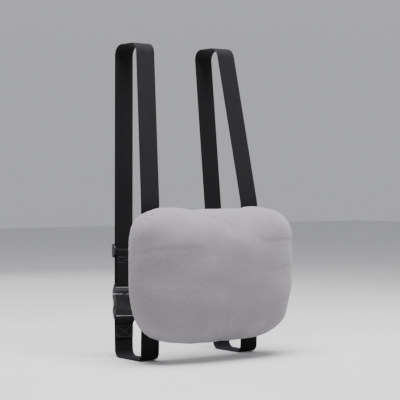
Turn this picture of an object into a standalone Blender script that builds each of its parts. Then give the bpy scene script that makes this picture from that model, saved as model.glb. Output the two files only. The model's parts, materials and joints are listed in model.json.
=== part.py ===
"""Lumbar support cushion with two elastic strap loops, as worn on a chair's backrest.

The back of the cushion lies in the plane y = 0 with its centre at the origin, the front faces -Y,
+Z is up and +X is to the right of someone who looks at the front. Both straps run up from the top
seam, over a slot in the backrest, down behind it through an adjuster and a side-release buckle,
and under the backrest to the bottom seam. The backrest itself is not part of the object.
Lengths are in metres.
"""

import math

import bmesh
import bpy
from mathutils import Matrix, Vector

GAP = 0.0003  # clearance between touching pieces

# Cushion
WIDTH = 0.330
HEIGHT = 0.240
DEPTH = 0.105
OUTLINE_POWER = 5.4  # superellipse exponent of the front outline
LOW_CORNER_CUT = 0.16  # how much more the lower corners are drawn in
COVER_THICKNESS = 0.0014
WADDING_THICKNESS = 0.006
BACK_EDGE_INSET = 0.012  # the back panel is this much smaller than the widest outline
RING_POINTS = 44
# depth share and inset of the cover's rings, from the back seam to the crown
PROFILE = (
    (0.00, BACK_EDGE_INSET),
    (0.08, 0.0040),
    (0.24, 0.0000),
    (0.45, 0.0012),
    (0.64, 0.0075),
    (0.79, 0.0190),
    (0.895, 0.0360),
    (0.962, 0.0580),
    (0.992, 0.0850),
)

# Zip in the back panel
ZIP_Z = -0.052
ZIP_HALF_LENGTH = 0.118
ZIP_SLOT_HALF_HEIGHT = 0.004
ZIP_SLOT_MARGIN = 0.006
TAPE_THICKNESS = 0.0006
TAPE_REACH = 0.012  # how far each tape runs under its panel
COIL_INNER = 0.0008
COIL_OUTER = 0.0024
COIL_THICKNESS = 0.0016
STOP_LENGTH = 0.0022
SLIDER_LENGTH = 0.009
SLIDER_X = ZIP_HALF_LENGTH - 0.006
SLIDER_PLATE = 0.0009
SLIDER_HALF_WIDTH = 0.0037
PULL_PIN_Y = 0.0026
PULL_PIN_RADIUS = 0.0005
PULL_LENGTH = 0.024
PULL_HALF_WIDTH = 0.0032

# Straps
STRAP_WIDTH = 0.038
STRAP_THICKNESS = 0.0016
STRAP_X_AT_CUSHION = 0.109
STRAP_X_AT_SLOT = 0.087
STRAP_SEWN_Z = 0.098  # where each strap's sewn end starts, above and below the middle
SLOT_Z = 0.400
SLOT_FRONT_Y = 0.047
SLOT_REAR_Y = 0.113
UNDER_Z = -0.146
UNDER_REAR_Y = 0.082
TOP_BEND = 0.018
UNDER_BEND = 0.012

# Buckle and adjuster, in a frame of their own: u across the strap, v outward, w up the strap
HARDWARE_Z = -0.072
LAYER = 0.0034  # distance of the strap's outer layer from the hardware's middle plane
BUCKLE_HALF_WIDTH = 0.0220
BUCKLE_HALF_THICKNESS = 0.0055
WEB_SLOT_HALF_WIDTH = 0.0198
FEMALE_LENGTH = 0.034
FEMALE_CAVITY_HALF_WIDTH = 0.0195
FEMALE_CAVITY_HALF_THICKNESS = 0.0035
WINDOW_LOW = 0.0100
WINDOW_HIGH = 0.0242
FEMALE_BAR_W = -0.0083
MALE_FOOT_W = 0.0345
MALE_BAR_W = 0.0503
BAR_HALF = 0.0018
BAR_DEPTH = 0.0017
GUIDE_TIP_W = 0.0140
PRONG_HINGE_U = 0.0115
PRONG_HINGE_W = 0.0342
PRONG_HALF_THICKNESS = 0.0029
ADJUSTER_W = 0.110
ADJUSTER_HALF_LENGTH = 0.012
ADJUSTER_HALF_WIDTH = 0.0225
ADJUSTER_BAR_HALF = 0.0011
ADJUSTER_LOOP = ADJUSTER_BAR_HALF * math.sqrt(2) + GAP + STRAP_THICKNESS / 2
ADJUSTER_BAR_V = LAYER - STRAP_THICKNESS - GAP - ADJUSTER_LOOP
TAIL_LENGTH = 0.024

# Blank care label in the zip's lower seam
LABEL_WIDTH = 0.026
LABEL_HEIGHT = 0.030
LABEL_X = -0.092

COLOURS = {
    "cover_fabric": ((0.37, 0.36, 0.375), 0.92, 0.0),
    "wadding": ((0.86, 0.86, 0.84), 0.98, 0.0),
    "foam": ((0.80, 0.77, 0.66), 0.95, 0.0),
    "zip_tape": ((0.10, 0.10, 0.105), 0.85, 0.0),
    "zip_coil": ((0.09, 0.09, 0.095), 0.45, 0.0),
    "zip_metal": ((0.05, 0.05, 0.052), 0.40, 0.0),
    "strap_webbing": ((0.026, 0.025, 0.029), 0.88, 0.0),
    "buckle_plastic": ((0.018, 0.018, 0.019), 0.42, 0.0),
    "label": ((0.75, 0.75, 0.74), 0.85, 0.0),
}


def clear_scene():
    for obj in list(bpy.data.objects):
        bpy.data.objects.remove(obj, do_unlink=True)


def material(name):
    found = bpy.data.materials.get(name)
    if found:
        return found
    colour, roughness, metallic = COLOURS[name]
    made = bpy.data.materials.new(name)
    made.use_nodes = True
    shader = made.node_tree.nodes["Principled BSDF"]
    shader.inputs["Base Color"].default_value = (*colour, 1.0)
    shader.inputs["Roughness"].default_value = roughness
    shader.inputs["Metallic"].default_value = metallic
    made.diffuse_color = (*colour, 1.0)
    return made


def finish_mesh(name, bm, slot, matrix=Matrix.Identity(4), smooth=True):
    """Turn a bmesh into a named object whose local frame is placed by matrix."""
    bmesh.ops.recalc_face_normals(bm, faces=bm.faces)
    mesh = bpy.data.meshes.new(name)
    bm.to_mesh(mesh)
    bm.free()
    if smooth:
        mesh.shade_smooth()
        mesh.set_sharp_from_angle(angle=math.radians(40))
    obj = bpy.data.objects.new(name, mesh)
    bpy.context.collection.objects.link(obj)
    obj.matrix_world = matrix
    mesh.materials.append(material(slot))
    return obj


def add_box(bm, low, high):
    """Add a box between two corners to a bmesh."""
    made = bmesh.ops.create_cube(bm, size=1.0)
    low, high = Vector(low), Vector(high)
    size = high - low
    for vert in made["verts"]:
        vert.co = Vector(c * s for c, s in zip(vert.co, size)) + (low + high) / 2


def box_object(name, low, high, slot, matrix=Matrix.Identity(4)):
    bm = bmesh.new()
    add_box(bm, low, high)
    return finish_mesh(name, bm, slot, matrix, smooth=False)


def cutter(name, low_high, matrix):
    """A hidden box, for a Boolean modifier."""
    bm = bmesh.new()
    add_box(bm, *low_high)
    obj = finish_mesh(name, bm, "buckle_plastic", matrix, smooth=False)
    obj.hide_render = True
    obj.display_type = "WIRE"
    return obj


def boolean(obj, tool, operation):
    modifier = obj.modifiers.new(tool.name, "BOOLEAN")
    modifier.operation = operation
    modifier.object = tool


def bevel(obj, width, segments=2):
    modifier = obj.modifiers.new("edges", "BEVEL")
    modifier.width = width
    modifier.segments = segments
    modifier.limit_method = "ANGLE"
    modifier.angle_limit = math.radians(50)


def extrude_outline(bm, outline, axis, low, high):
    """Add a prism: outline is a list of 2-D points on the other two axes, in X, Y, Z order."""
    others = [a for a in range(3) if a != axis]
    verts = []
    for point in outline:
        co = [0.0, 0.0, 0.0]
        co[axis] = low
        co[others[0]], co[others[1]] = point
        verts.append(bm.verts.new(co))
    face = bm.faces.new(verts)
    offset = [0.0, 0.0, 0.0]
    offset[axis] = high - low
    made = bmesh.ops.extrude_face_region(bm, geom=[face])
    top = [v for v in made["geom"] if isinstance(v, bmesh.types.BMVert)]
    bmesh.ops.translate(bm, verts=top, vec=offset)


# Cushion


def outline_point(angle, inset):
    """A point of the cushion's outline, drawn in by inset, with fuller upper corners."""
    power = 2.0 / OUTLINE_POWER
    across, up = math.cos(angle), math.sin(angle)
    x = math.copysign(abs(across) ** power, across) * (WIDTH / 2 - inset)
    z = math.copysign(abs(up) ** power, up) * (HEIGHT / 2 - inset)
    low_share = max(0.0, -z / (HEIGHT / 2)) ** 3
    return x * (1 - LOW_CORNER_CUT * low_share), z


def ring(bm, y, inset):
    points = []
    for n in range(RING_POINTS):
        x, z = outline_point(2 * math.pi * n / RING_POINTS, inset)
        points.append(bm.verts.new((x, y, z)))
    return points


def bridge(bm, first, second):
    count = len(first)
    for n in range(count):
        m = (n + 1) % count
        bm.faces.new((first[n], first[m], second[m], second[n]))


def crowned_skin(bm, offset, back_y):
    """One crowned surface, offset inward from the cover's outside, open at the back."""
    rings = []
    for share, inset in PROFILE:
        y = min(back_y, -share * (DEPTH - offset))
        rings.append(ring(bm, y, inset + offset))
    for first, second in zip(rings, rings[1:]):
        bridge(bm, first, second)
    crown = bm.verts.new((0.0, offset - DEPTH, 0.0))
    last = rings[-1]
    for n in range(RING_POINTS):
        bm.faces.new((last[n], last[(n + 1) % RING_POINTS], crown))
    return rings[0]


def crowned_shell(name, outer_offset, inner_offset, back_y, slot):
    """A dish-shaped layer, open at the back."""
    bm = bmesh.new()
    outer = crowned_skin(bm, outer_offset, back_y)
    inner = crowned_skin(bm, inner_offset, back_y)
    bridge(bm, outer, inner)
    return finish_mesh(name, bm, slot)


def make_padding():
    """Foam core, the wadding over it and the front cover over both."""
    wadding_offset = COVER_THICKNESS + GAP
    foam_offset = wadding_offset + WADDING_THICKNESS + GAP
    inner_back = -0.0040
    crowned_shell("front_cover", 0.0, COVER_THICKNESS, 0.0, "cover_fabric")
    crowned_shell("wadding_wrap", wadding_offset, foam_offset - GAP, inner_back, "wadding")
    bm = bmesh.new()
    back = crowned_skin(bm, foam_offset, inner_back)
    bm.faces.new(back)
    finish_mesh("foam_core", bm, "foam")


def outline_edge(points, z):
    """Where the right-hand side of an outline crosses a height."""
    for first, second in zip(points, points[1:] + points[:1]):
        if first[0] > 0 and second[0] > 0 and (first[1] - z) * (second[1] - z) <= 0:
            share = (z - first[1]) / (second[1] - first[1])
            return first[0] + share * (second[0] - first[0])
    return 0.0


def back_outline(upper):
    """The outline of one back panel as (x, z) points, with its notch for the zip."""
    inset = BACK_EDGE_INSET + COVER_THICKNESS + GAP
    side = 1 if upper else -1
    split = ZIP_Z + side * GAP / 2
    notch_z = ZIP_Z + side * ZIP_SLOT_HALF_HEIGHT
    notch_x = ZIP_HALF_LENGTH + ZIP_SLOT_MARGIN
    points = [outline_point(2 * math.pi * n / RING_POINTS, inset) for n in range(RING_POINTS)]
    kept = [p for p in points if (p[1] - split) * side > 0]
    kept.sort(key=lambda p: math.atan2(p[0], (p[1] - split) * side))
    seam = [(outline_edge(points, split), split), (notch_x, split), (notch_x, notch_z)]
    return kept + seam + [(-x, z) for x, z in reversed(seam)]


def make_back_panel(name, upper):
    bm = bmesh.new()
    extrude_outline(bm, back_outline(upper), 1, -COVER_THICKNESS, 0.0)
    if upper:
        for place, normal in (((0.06, 0, 0), (1, 0, 0)), ((-0.06, 0, 0), (1, 0, 0)),
                              ((0, 0, 0.055), (0, 0, 1)), ((0, 0, -0.030), (0, 0, 1))):
            geometry = bm.verts[:] + bm.edges[:] + bm.faces[:]
            bmesh.ops.bisect_plane(bm, geom=geometry, plane_co=place, plane_no=normal)
    finish_mesh(name, bm, "cover_fabric", smooth=False)


def make_label():
    top = ZIP_Z - ZIP_SLOT_HALF_HEIGHT - 0.002
    box_object(
        "care_label",
        (LABEL_X - LABEL_WIDTH / 2, GAP, top - LABEL_HEIGHT),
        (LABEL_X + LABEL_WIDTH / 2, GAP + 0.0005, top),
        "label",
    )


# Zip


def zip_layers():
    """The y of the tape's outside and of the coil's inside."""
    tape_outside = -COVER_THICKNESS - GAP
    coil_inside = tape_outside + GAP
    return tape_outside, coil_inside


def make_zip_rows():
    """Two tapes and two coil rows, upper and lower."""
    tape_outside, coil_inside = zip_layers()
    tape_half = ZIP_HALF_LENGTH + ZIP_SLOT_MARGIN - GAP
    for name, side in (("upper", 1), ("lower", -1)):
        near = ZIP_Z + side * COIL_INNER
        far = ZIP_Z + side * (ZIP_SLOT_HALF_HEIGHT + TAPE_REACH)
        box_object(
            f"zip_tape_{name}",
            (-tape_half, tape_outside - TAPE_THICKNESS, min(near, far)),
            (tape_half, tape_outside, max(near, far)),
            "zip_tape",
        )
        outer = ZIP_Z + side * COIL_OUTER
        row = box_object(
            f"zip_coil_{name}",
            (-ZIP_HALF_LENGTH, coil_inside, min(near, outer)),
            (ZIP_HALF_LENGTH, coil_inside + COIL_THICKNESS, max(near, outer)),
            "zip_coil",
        )
        bevel(row, 0.0003, 1)


def make_zip_stops():
    """Metal clips across both rows at the ends of the zip."""
    _, coil_inside = zip_layers()
    for name, side in (("zip_top_stop", 1), ("zip_bottom_stop", -1)):
        near = side * (ZIP_HALF_LENGTH + GAP)
        far = near + side * STOP_LENGTH
        stop = box_object(
            name,
            (min(near, far), coil_inside, ZIP_Z - COIL_OUTER),
            (max(near, far), coil_inside + COIL_THICKNESS + 0.0004, ZIP_Z + COIL_OUTER),
            "zip_metal",
        )
        bevel(stop, 0.0003, 1)


def make_zip_slider():
    """Slider with two plates, a wedge post between the rows, side flanges and a bridge."""
    tape_outside, coil_inside = zip_layers()
    half = SLIDER_LENGTH / 2
    plate_low = coil_inside + COIL_THICKNESS + GAP
    plate_high = plate_low + SLIDER_PLATE
    under_high = tape_outside - TAPE_THICKNESS - GAP
    under_low = under_high - SLIDER_PLATE
    bridge_low = PULL_PIN_Y + PULL_PIN_RADIUS + GAP
    place = Matrix.Translation((SLIDER_X, 0.0, ZIP_Z))
    post_half = COIL_INNER - GAP
    joined = 0.0002
    slider = box_object(
        "zip_slider",
        (-half, plate_low, -SLIDER_HALF_WIDTH),
        (half, plate_high, SLIDER_HALF_WIDTH),
        "zip_metal",
        place,
    )
    flange_low = tape_outside + GAP
    flange_inner = COIL_OUTER + GAP
    parts = [
        ((-half, under_low, -SLIDER_HALF_WIDTH), (half, under_high, SLIDER_HALF_WIDTH)),
        ((-0.0035, under_high - joined, -post_half), (-0.0015, plate_low + joined, post_half)),
        ((-half, flange_low, flange_inner), (half, plate_low + joined, SLIDER_HALF_WIDTH)),
        ((-half, flange_low, -SLIDER_HALF_WIDTH), (half, plate_low + joined, -flange_inner)),
        ((-0.0024, bridge_low, -0.0008), (0.0024, bridge_low + 0.0007, 0.0008)),
        ((-0.0024, plate_high - joined, -0.0008), (-0.0016, bridge_low + joined, 0.0008)),
        ((0.0016, plate_high - joined, -0.0008), (0.0024, bridge_low + joined, 0.0008)),
    ]
    for n, part in enumerate(parts):
        boolean(slider, cutter(f"zip_slider_part_{n}", part, place), "UNION")


def make_zip_pull():
    """Pull tab whose cross pin passes under the slider's bridge; it lies flat along +X."""
    place = Matrix.Translation((SLIDER_X, PULL_PIN_Y, ZIP_Z))
    half = PULL_PIN_RADIUS
    arm_inner = 0.0016
    bm = bmesh.new()
    outline = [(-half, -PULL_HALF_WIDTH), (PULL_LENGTH, -PULL_HALF_WIDTH)]
    outline += [(PULL_LENGTH, PULL_HALF_WIDTH), (-half, PULL_HALF_WIDTH)]
    extrude_outline(bm, outline, 1, -half, half)
    pull = finish_mesh("zip_pull", bm, "zip_metal", place, smooth=False)
    window = cutter(
        "zip_pull_window",
        ((half, -0.01, -arm_inner), (0.0050, 0.01, arm_inner)),
        place,
    )
    boolean(pull, window, "DIFFERENCE")
    hole = cutter(
        "zip_pull_hole",
        ((PULL_LENGTH - 0.005, -0.01, -0.0012), (PULL_LENGTH - 0.002, 0.01, 0.0012)),
        place,
    )
    boolean(pull, hole, "DIFFERENCE")


# Straps and their hardware


def hardware_frame(side):
    """The buckle's and adjuster's frame: columns u, v, w, on the strap's rear run."""
    low = Vector((side * STRAP_X_AT_CUSHION, UNDER_REAR_Y, UNDER_Z))
    high = Vector((side * STRAP_X_AT_SLOT, SLOT_REAR_Y, SLOT_Z))
    up = (high - low).normalized()
    across = (Vector((1, 0, 0)) - up * up.x).normalized()
    outward = up.cross(across)
    share = (HARDWARE_Z - low.z) / (high.z - low.z)
    origin = low + (high - low) * share - outward * LAYER
    frame = Matrix((across, outward, up)).transposed().to_4x4()
    frame.translation = origin
    return frame


def rounded_path(corners, step=math.radians(15)):
    """Points along straight runs joined by arcs, each with the direction of the strap's width.

    A corner is (point, radius, width direction); the first and the last have no arc.
    """
    first, last = corners[0], corners[-1]
    points = [(first[0], first[2])]
    for before, (corner, radius, guide), after in zip(corners, corners[1:], corners[2:]):
        into = (corner - before[0]).normalized()
        out = (after[0] - corner).normalized()
        turn = into.angle(out)
        start = corner - into * radius * math.tan(turn / 2)
        towards = (out - into * out.dot(into)).normalized()
        steps = max(2, math.ceil(turn / step))
        for n in range(steps + 1):
            angle = turn * n / steps
            along = into * math.sin(angle) + towards * (1 - math.cos(angle))
            points.append((start + along * radius, guide))
    points.append((last[0], last[2]))
    return points


def make_strap(name, corners):
    """A flat strap of constant section swept along a rounded path."""
    points = rounded_path(corners)
    bm = bmesh.new()
    sections = []
    last = len(points) - 1
    for n, (point, guide) in enumerate(points):
        tangent = (points[min(n + 1, last)][0] - points[max(n - 1, 0)][0]).normalized()
        across = (guide - tangent * tangent.dot(guide)).normalized() * STRAP_WIDTH / 2
        normal = tangent.cross(across).normalized() * STRAP_THICKNESS / 2
        section = []
        for a, b in ((1, 1), (-1, 1), (-1, -1), (1, -1)):
            section.append(bm.verts.new(point + across * a + normal * b))
        sections.append(section)
    for first, second in zip(sections, sections[1:]):
        bridge(bm, first, second)
    bm.faces.new(sections[0])
    bm.faces.new(sections[-1])
    return finish_mesh(name, bm, "strap_webbing")


def strap_corners(world, local, frame):
    """Corners given in world coordinates, then corners (v, w, radius) in the hardware's frame."""
    across = frame.col[0].to_3d()
    corners = [(Vector(point), radius, Vector((1, 0, 0))) for point, radius in world]
    return corners + [(frame @ Vector((0, v, w)), radius, across) for v, w, radius in local]


def upper_strap_corners(side, frame):
    """From the top seam over the slot, down the back, round the male bar and the adjuster."""
    sewn_y = GAP + STRAP_THICKNESS / 2
    x_low, x_high = side * STRAP_X_AT_CUSHION, side * STRAP_X_AT_SLOT
    back_layer = ADJUSTER_BAR_V - ADJUSTER_LOOP
    front_layer = ADJUSTER_BAR_V + ADJUSTER_LOOP
    loop_top = ADJUSTER_W + ADJUSTER_LOOP
    tail = back_layer + STRAP_THICKNESS + GAP
    world = [
        ((x_low, sewn_y, STRAP_SEWN_Z), 0),
        ((x_low, sewn_y, HEIGHT / 2), 0.08),
        ((x_high, SLOT_FRONT_Y, SLOT_Z), TOP_BEND),
        ((x_high, SLOT_REAR_Y, SLOT_Z), TOP_BEND),
    ]
    local = [
        (LAYER, MALE_BAR_W - LAYER, LAYER),
        (-LAYER, MALE_BAR_W - LAYER, LAYER),
        (back_layer, ADJUSTER_W - 0.040, 0.03),
        (back_layer, loop_top, ADJUSTER_LOOP),
        (front_layer, loop_top, ADJUSTER_LOOP),
        (front_layer, ADJUSTER_W - 0.003, 0.004),
        (tail, ADJUSTER_W - 0.009, 0.004),
        (tail, ADJUSTER_W - TAIL_LENGTH, 0),
    ]
    return strap_corners(world, local, frame)


def lower_strap_corners(side, frame):
    """From the bottom seam under the backrest, up to the female bar and round it."""
    sewn_y = GAP + STRAP_THICKNESS / 2
    x = side * STRAP_X_AT_CUSHION
    tail = LAYER - STRAP_THICKNESS - GAP
    top = FEMALE_BAR_W + LAYER
    world = [
        ((x, sewn_y, -STRAP_SEWN_Z), 0),
        ((x, sewn_y + 0.0015, UNDER_Z), UNDER_BEND),
        ((x, UNDER_REAR_Y, UNDER_Z), UNDER_BEND),
    ]
    local = [
        (LAYER, top, LAYER),
        (-LAYER, top, LAYER),
        (-LAYER, FEMALE_BAR_W - 0.003, 0.004),
        (tail, FEMALE_BAR_W - 0.010, 0.004),
        (tail, FEMALE_BAR_W - 0.010 - TAIL_LENGTH, 0),
    ]
    return strap_corners(world, local, frame)


def make_buckle_female(name, frame):
    """Socket with a mouth at the top, two side windows and a web bar at the bottom."""
    half = BUCKLE_HALF_THICKNESS
    bar_end, bar_side = FEMALE_BAR_W - BAR_HALF, FEMALE_BAR_W + BAR_HALF
    outline = [(-BAR_DEPTH, bar_end), (BAR_DEPTH, bar_end), (BAR_DEPTH, bar_side), (0.0040, 0.0)]
    outline += [(half, 0.006), (half, FEMALE_LENGTH), (-half, FEMALE_LENGTH), (-half, 0.006)]
    outline += [(-0.0040, 0.0), (-BAR_DEPTH, bar_side)]
    bm = bmesh.new()
    extrude_outline(bm, outline, 0, -BUCKLE_HALF_WIDTH, BUCKLE_HALF_WIDTH)
    body = finish_mesh(name, bm, "buckle_plastic", frame, smooth=False)
    bevel(body, 0.0012)
    wide, deep = FEMALE_CAVITY_HALF_WIDTH, FEMALE_CAVITY_HALF_THICKNESS
    out = BUCKLE_HALF_WIDTH + 0.002
    slot = WEB_SLOT_HALF_WIDTH
    cuts = {
        "cavity": ((-wide, -deep, 0.007), (wide, deep, FEMALE_LENGTH + 0.002)),
        "windows": ((-out, -deep, WINDOW_LOW), (out, deep, WINDOW_HIGH)),
        "web_slot": ((-slot, -0.01, FEMALE_BAR_W + BAR_HALF), (slot, 0.01, -0.0005)),
    }
    for key, low_high in cuts.items():
        boolean(body, cutter(f"{name}_{key}", low_high, frame), "DIFFERENCE")


def make_buckle_male(name, frame):
    """Plug base with a web bar at the top and a centre guide that enters the socket."""
    half = BUCKLE_HALF_THICKNESS
    foot = MALE_FOOT_W
    bar_end, bar_side = MALE_BAR_W + BAR_HALF, MALE_BAR_W - BAR_HALF
    outline = [(-half, foot), (half, foot), (half, foot + 0.005), (0.0040, 0.0430)]
    outline += [(BAR_DEPTH, bar_side), (BAR_DEPTH, bar_end), (-BAR_DEPTH, bar_end)]
    outline += [(-BAR_DEPTH, bar_side), (-0.0040, 0.0430), (-half, foot + 0.005)]
    bm = bmesh.new()
    extrude_outline(bm, outline, 0, -BUCKLE_HALF_WIDTH, BUCKLE_HALF_WIDTH)
    body = finish_mesh(name, bm, "buckle_plastic", frame, smooth=False)
    bevel(body, 0.0012)
    slot = WEB_SLOT_HALF_WIDTH
    web = ((-slot, -0.01, 0.0430), (slot, 0.01, MALE_BAR_W - BAR_HALF))
    guide = ((-0.0030, -0.0026, GUIDE_TIP_W), (0.0030, 0.0026, foot + 0.001))
    boolean(body, cutter(f"{name}_web_slot", web, frame), "DIFFERENCE")
    boolean(body, cutter(f"{name}_guide", guide, frame), "UNION")


def make_prong(name, frame, side):
    """A sprung arm of the plug, with its barb in the socket's window; origin at its root."""
    root_u, root_w = PRONG_HINGE_U, PRONG_HINGE_W
    outline = [
        (0.0085, root_w), (0.0145, root_w), (0.0168, 0.0252), (0.0214, 0.0234),
        (0.0220, 0.0220), (0.0220, 0.0160), (0.0205, 0.0125), (0.0180, 0.0112),
        (0.0155, 0.0116), (0.0150, 0.0150), (0.0138, 0.0245),
    ]
    bm = bmesh.new()
    placed = [(side * (u - root_u), w - root_w) for u, w in outline]
    extrude_outline(bm, placed, 1, -PRONG_HALF_THICKNESS, PRONG_HALF_THICKNESS)
    place = frame @ Matrix.Translation((side * root_u, 0.0, root_w))
    prong = finish_mesh(name, bm, "buckle_plastic", place, smooth=False)
    bevel(prong, 0.0004, 1)


def make_adjuster(name, frame):
    """Slider with two outer bars over the strap and a set-back middle bar that carries its end."""
    rail_inner = STRAP_WIDTH / 2 + 0.0006
    half, wide = ADJUSTER_HALF_LENGTH, ADJUSTER_HALF_WIDTH
    cover_v = LAYER + STRAP_THICKNESS / 2 + GAP
    top_v = cover_v + 0.0020
    bottom_v = ADJUSTER_BAR_V - ADJUSTER_BAR_HALF - 0.0004
    outline = [(cover_v, -half), (top_v, -half), (top_v, half), (cover_v, half)]
    outline += [(bottom_v, 0.005), (bottom_v, -0.005)]
    place = frame @ Matrix.Translation((0.0, 0.0, ADJUSTER_W))
    bm = bmesh.new()
    extrude_outline(bm, outline, 0, -wide, wide)
    body = finish_mesh(name, bm, "buckle_plastic", place, smooth=False)
    bevel(body, 0.0006, 1)
    end_bar = 0.0034
    bar = ADJUSTER_BAR_HALF
    deep = 0.02
    middle_v = ADJUSTER_BAR_V
    cuts = {
        "openings": ((-rail_inner, -deep, -half + end_bar), (rail_inner, deep, half - end_bar)),
        "strap_way": ((-rail_inner, -deep, -half - 0.001), (rail_inner, cover_v, half + 0.001)),
    }
    for key, low_high in cuts.items():
        boolean(body, cutter(f"{name}_{key}", low_high, place), "DIFFERENCE")
    middle = (
        (-rail_inner - 0.001, middle_v - bar, -bar),
        (rail_inner + 0.001, middle_v + bar, bar),
    )
    boolean(body, cutter(f"{name}_middle_bar", middle, place), "UNION")


def make_side(word, side):
    """Everything on one strap loop."""
    frame = hardware_frame(side)
    make_strap(f"upper_strap_{word}", upper_strap_corners(side, frame))
    make_strap(f"lower_strap_{word}", lower_strap_corners(side, frame))
    make_buckle_female(f"buckle_female_{word}", frame)
    make_buckle_male(f"buckle_male_{word}", frame)
    make_prong(f"buckle_prong_{word}_outer", frame, side)
    make_prong(f"buckle_prong_{word}_inner", frame, -side)
    make_adjuster(f"strap_adjuster_{word}", frame)


def main():
    clear_scene()
    make_padding()
    make_back_panel("back_cover_upper", True)
    make_back_panel("back_cover_lower", False)
    make_zip_rows()
    make_zip_stops()
    make_zip_slider()
    make_zip_pull()
    make_label()
    make_side("left", -1)
    make_side("right", 1)


main()
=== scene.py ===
import json
import math

import bmesh
import bpy
import numpy as np
from mathutils import Matrix, Vector
from mathutils.geometry import delaunay_2d_cdt
from mathutils.kdtree import KDTree


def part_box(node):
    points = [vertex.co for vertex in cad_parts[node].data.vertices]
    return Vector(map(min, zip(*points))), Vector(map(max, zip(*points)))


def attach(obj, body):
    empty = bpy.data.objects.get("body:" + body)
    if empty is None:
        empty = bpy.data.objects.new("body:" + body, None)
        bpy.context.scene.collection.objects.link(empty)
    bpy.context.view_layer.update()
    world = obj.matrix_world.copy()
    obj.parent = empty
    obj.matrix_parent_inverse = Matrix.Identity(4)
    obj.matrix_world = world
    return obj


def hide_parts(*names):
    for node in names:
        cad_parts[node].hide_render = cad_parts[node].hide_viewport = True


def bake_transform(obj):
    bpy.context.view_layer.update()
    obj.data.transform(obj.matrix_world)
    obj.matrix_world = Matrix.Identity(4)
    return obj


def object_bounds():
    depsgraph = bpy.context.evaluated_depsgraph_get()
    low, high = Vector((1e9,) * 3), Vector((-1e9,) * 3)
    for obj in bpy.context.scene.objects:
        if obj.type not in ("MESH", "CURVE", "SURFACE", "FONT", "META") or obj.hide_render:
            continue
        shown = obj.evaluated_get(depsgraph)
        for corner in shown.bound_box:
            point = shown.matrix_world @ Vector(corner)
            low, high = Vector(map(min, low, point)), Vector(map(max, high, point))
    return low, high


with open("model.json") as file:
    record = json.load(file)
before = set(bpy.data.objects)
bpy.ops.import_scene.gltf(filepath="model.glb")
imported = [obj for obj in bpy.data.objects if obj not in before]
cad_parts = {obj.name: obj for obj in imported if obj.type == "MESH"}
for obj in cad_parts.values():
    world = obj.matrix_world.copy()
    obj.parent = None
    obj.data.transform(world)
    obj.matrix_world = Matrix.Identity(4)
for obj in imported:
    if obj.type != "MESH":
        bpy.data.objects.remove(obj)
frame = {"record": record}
CAD_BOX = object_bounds()
JOINTS = {j["name"]: j for j in frame["record"]["behaviour"]["joints"]}
SCENE = bpy.context.scene
MM = 0.001

# The cushion's sizes, read from the CAD nodes
COVER_LOW, COVER_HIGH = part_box("front_cover")
HALF_W = COVER_HIGH.x
HALF_H = COVER_HIGH.z
DEPTH = -COVER_LOW.y
SEAM_INSET = HALF_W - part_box("back_cover_upper")[1].x - 1.2 * MM
SEAM_Y = -1.6 * MM
WIDEST_Y = -31 * MM
SEAM_POWER = 5.4  # superellipse exponent of the outline at the seam
CROWN_POWER = 3.0  # and near the crown
LOW_CORNER_CUT = 0.17
CREASES = (  # side it starts from, level, tilt, how far in it reaches, depth
    (1, 66 * MM, 0.02, 200 * MM, 0.42 * MM),
    (1, 14 * MM, -0.04, 215 * MM, 0.28 * MM),
    (-1, 52 * MM, 0.05, 170 * MM, 0.30 * MM),
    (-1, -30 * MM, -0.03, 190 * MM, 0.24 * MM),
)
COVER_GRID = (121, 89)
START_SMALLER = 4 * MM  # how much smaller the cover is before it is blown up
PRESSURE, SLACK, FRAMES = 4.0, 0.008, 20  # of its cloth simulation
SWELL_CAP = 6 * MM
PADDING_GRID = (61, 45)
PADDING_BACK_Y = -3.2 * MM  # the padding stops short of the back panels
WADDING_DEPTH, WADDING_T, FOAM_DEPTH = 2.2 * MM, 5.5 * MM, 8.2 * MM  # under the cover
FABRIC = 1.4 * MM
ALLOWANCE = 3 * MM  # what the back panel turns in under the front cover
OVERLAP = 0.12 * MM  # how far it reaches past the front cover's edge, to close the seam

ZIP_Z = JOINTS["zip_pull_swing"]["pos_m"][2]
SLOT_HALF = 4 * MM
SLOT_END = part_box("zip_tape_upper")[1].x + 0.3 * MM
STITCH_OFF = 2.6 * MM  # from the slot's edge to the topstitching
TUBE_SIDES = 6

STRAP_W = 38 * MM
STRAP_T = 1.6 * MM
STRAP_X = (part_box("lower_strap_right")[1].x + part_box("lower_strap_right")[0].x) / 2
CORDS = 15  # lengthwise cords in the webbing
LAYER = 3.4 * MM  # the strap's outer layer, from the hardware's middle plane
BUCKLE_HALF = 5.5  # half the buckle's thickness, in mm like the moulded parts' outlines

TINT = (1.0, 0.935, 1.04)  # the faint violet cast that all the greys share
CAMERA_AZIMUTH, CAMERA_ELEVATION = math.radians(-36.6), math.radians(0.8)
CAMERA_DISTANCE = 2.44
VIEW_WIDTH = 0.70  # what the frame takes in at that distance
SIDES = (("upper", 1), ("lower", -1))

rng = np.random.default_rng(11)


# ---------------------------------------------------------------- materials


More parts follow.
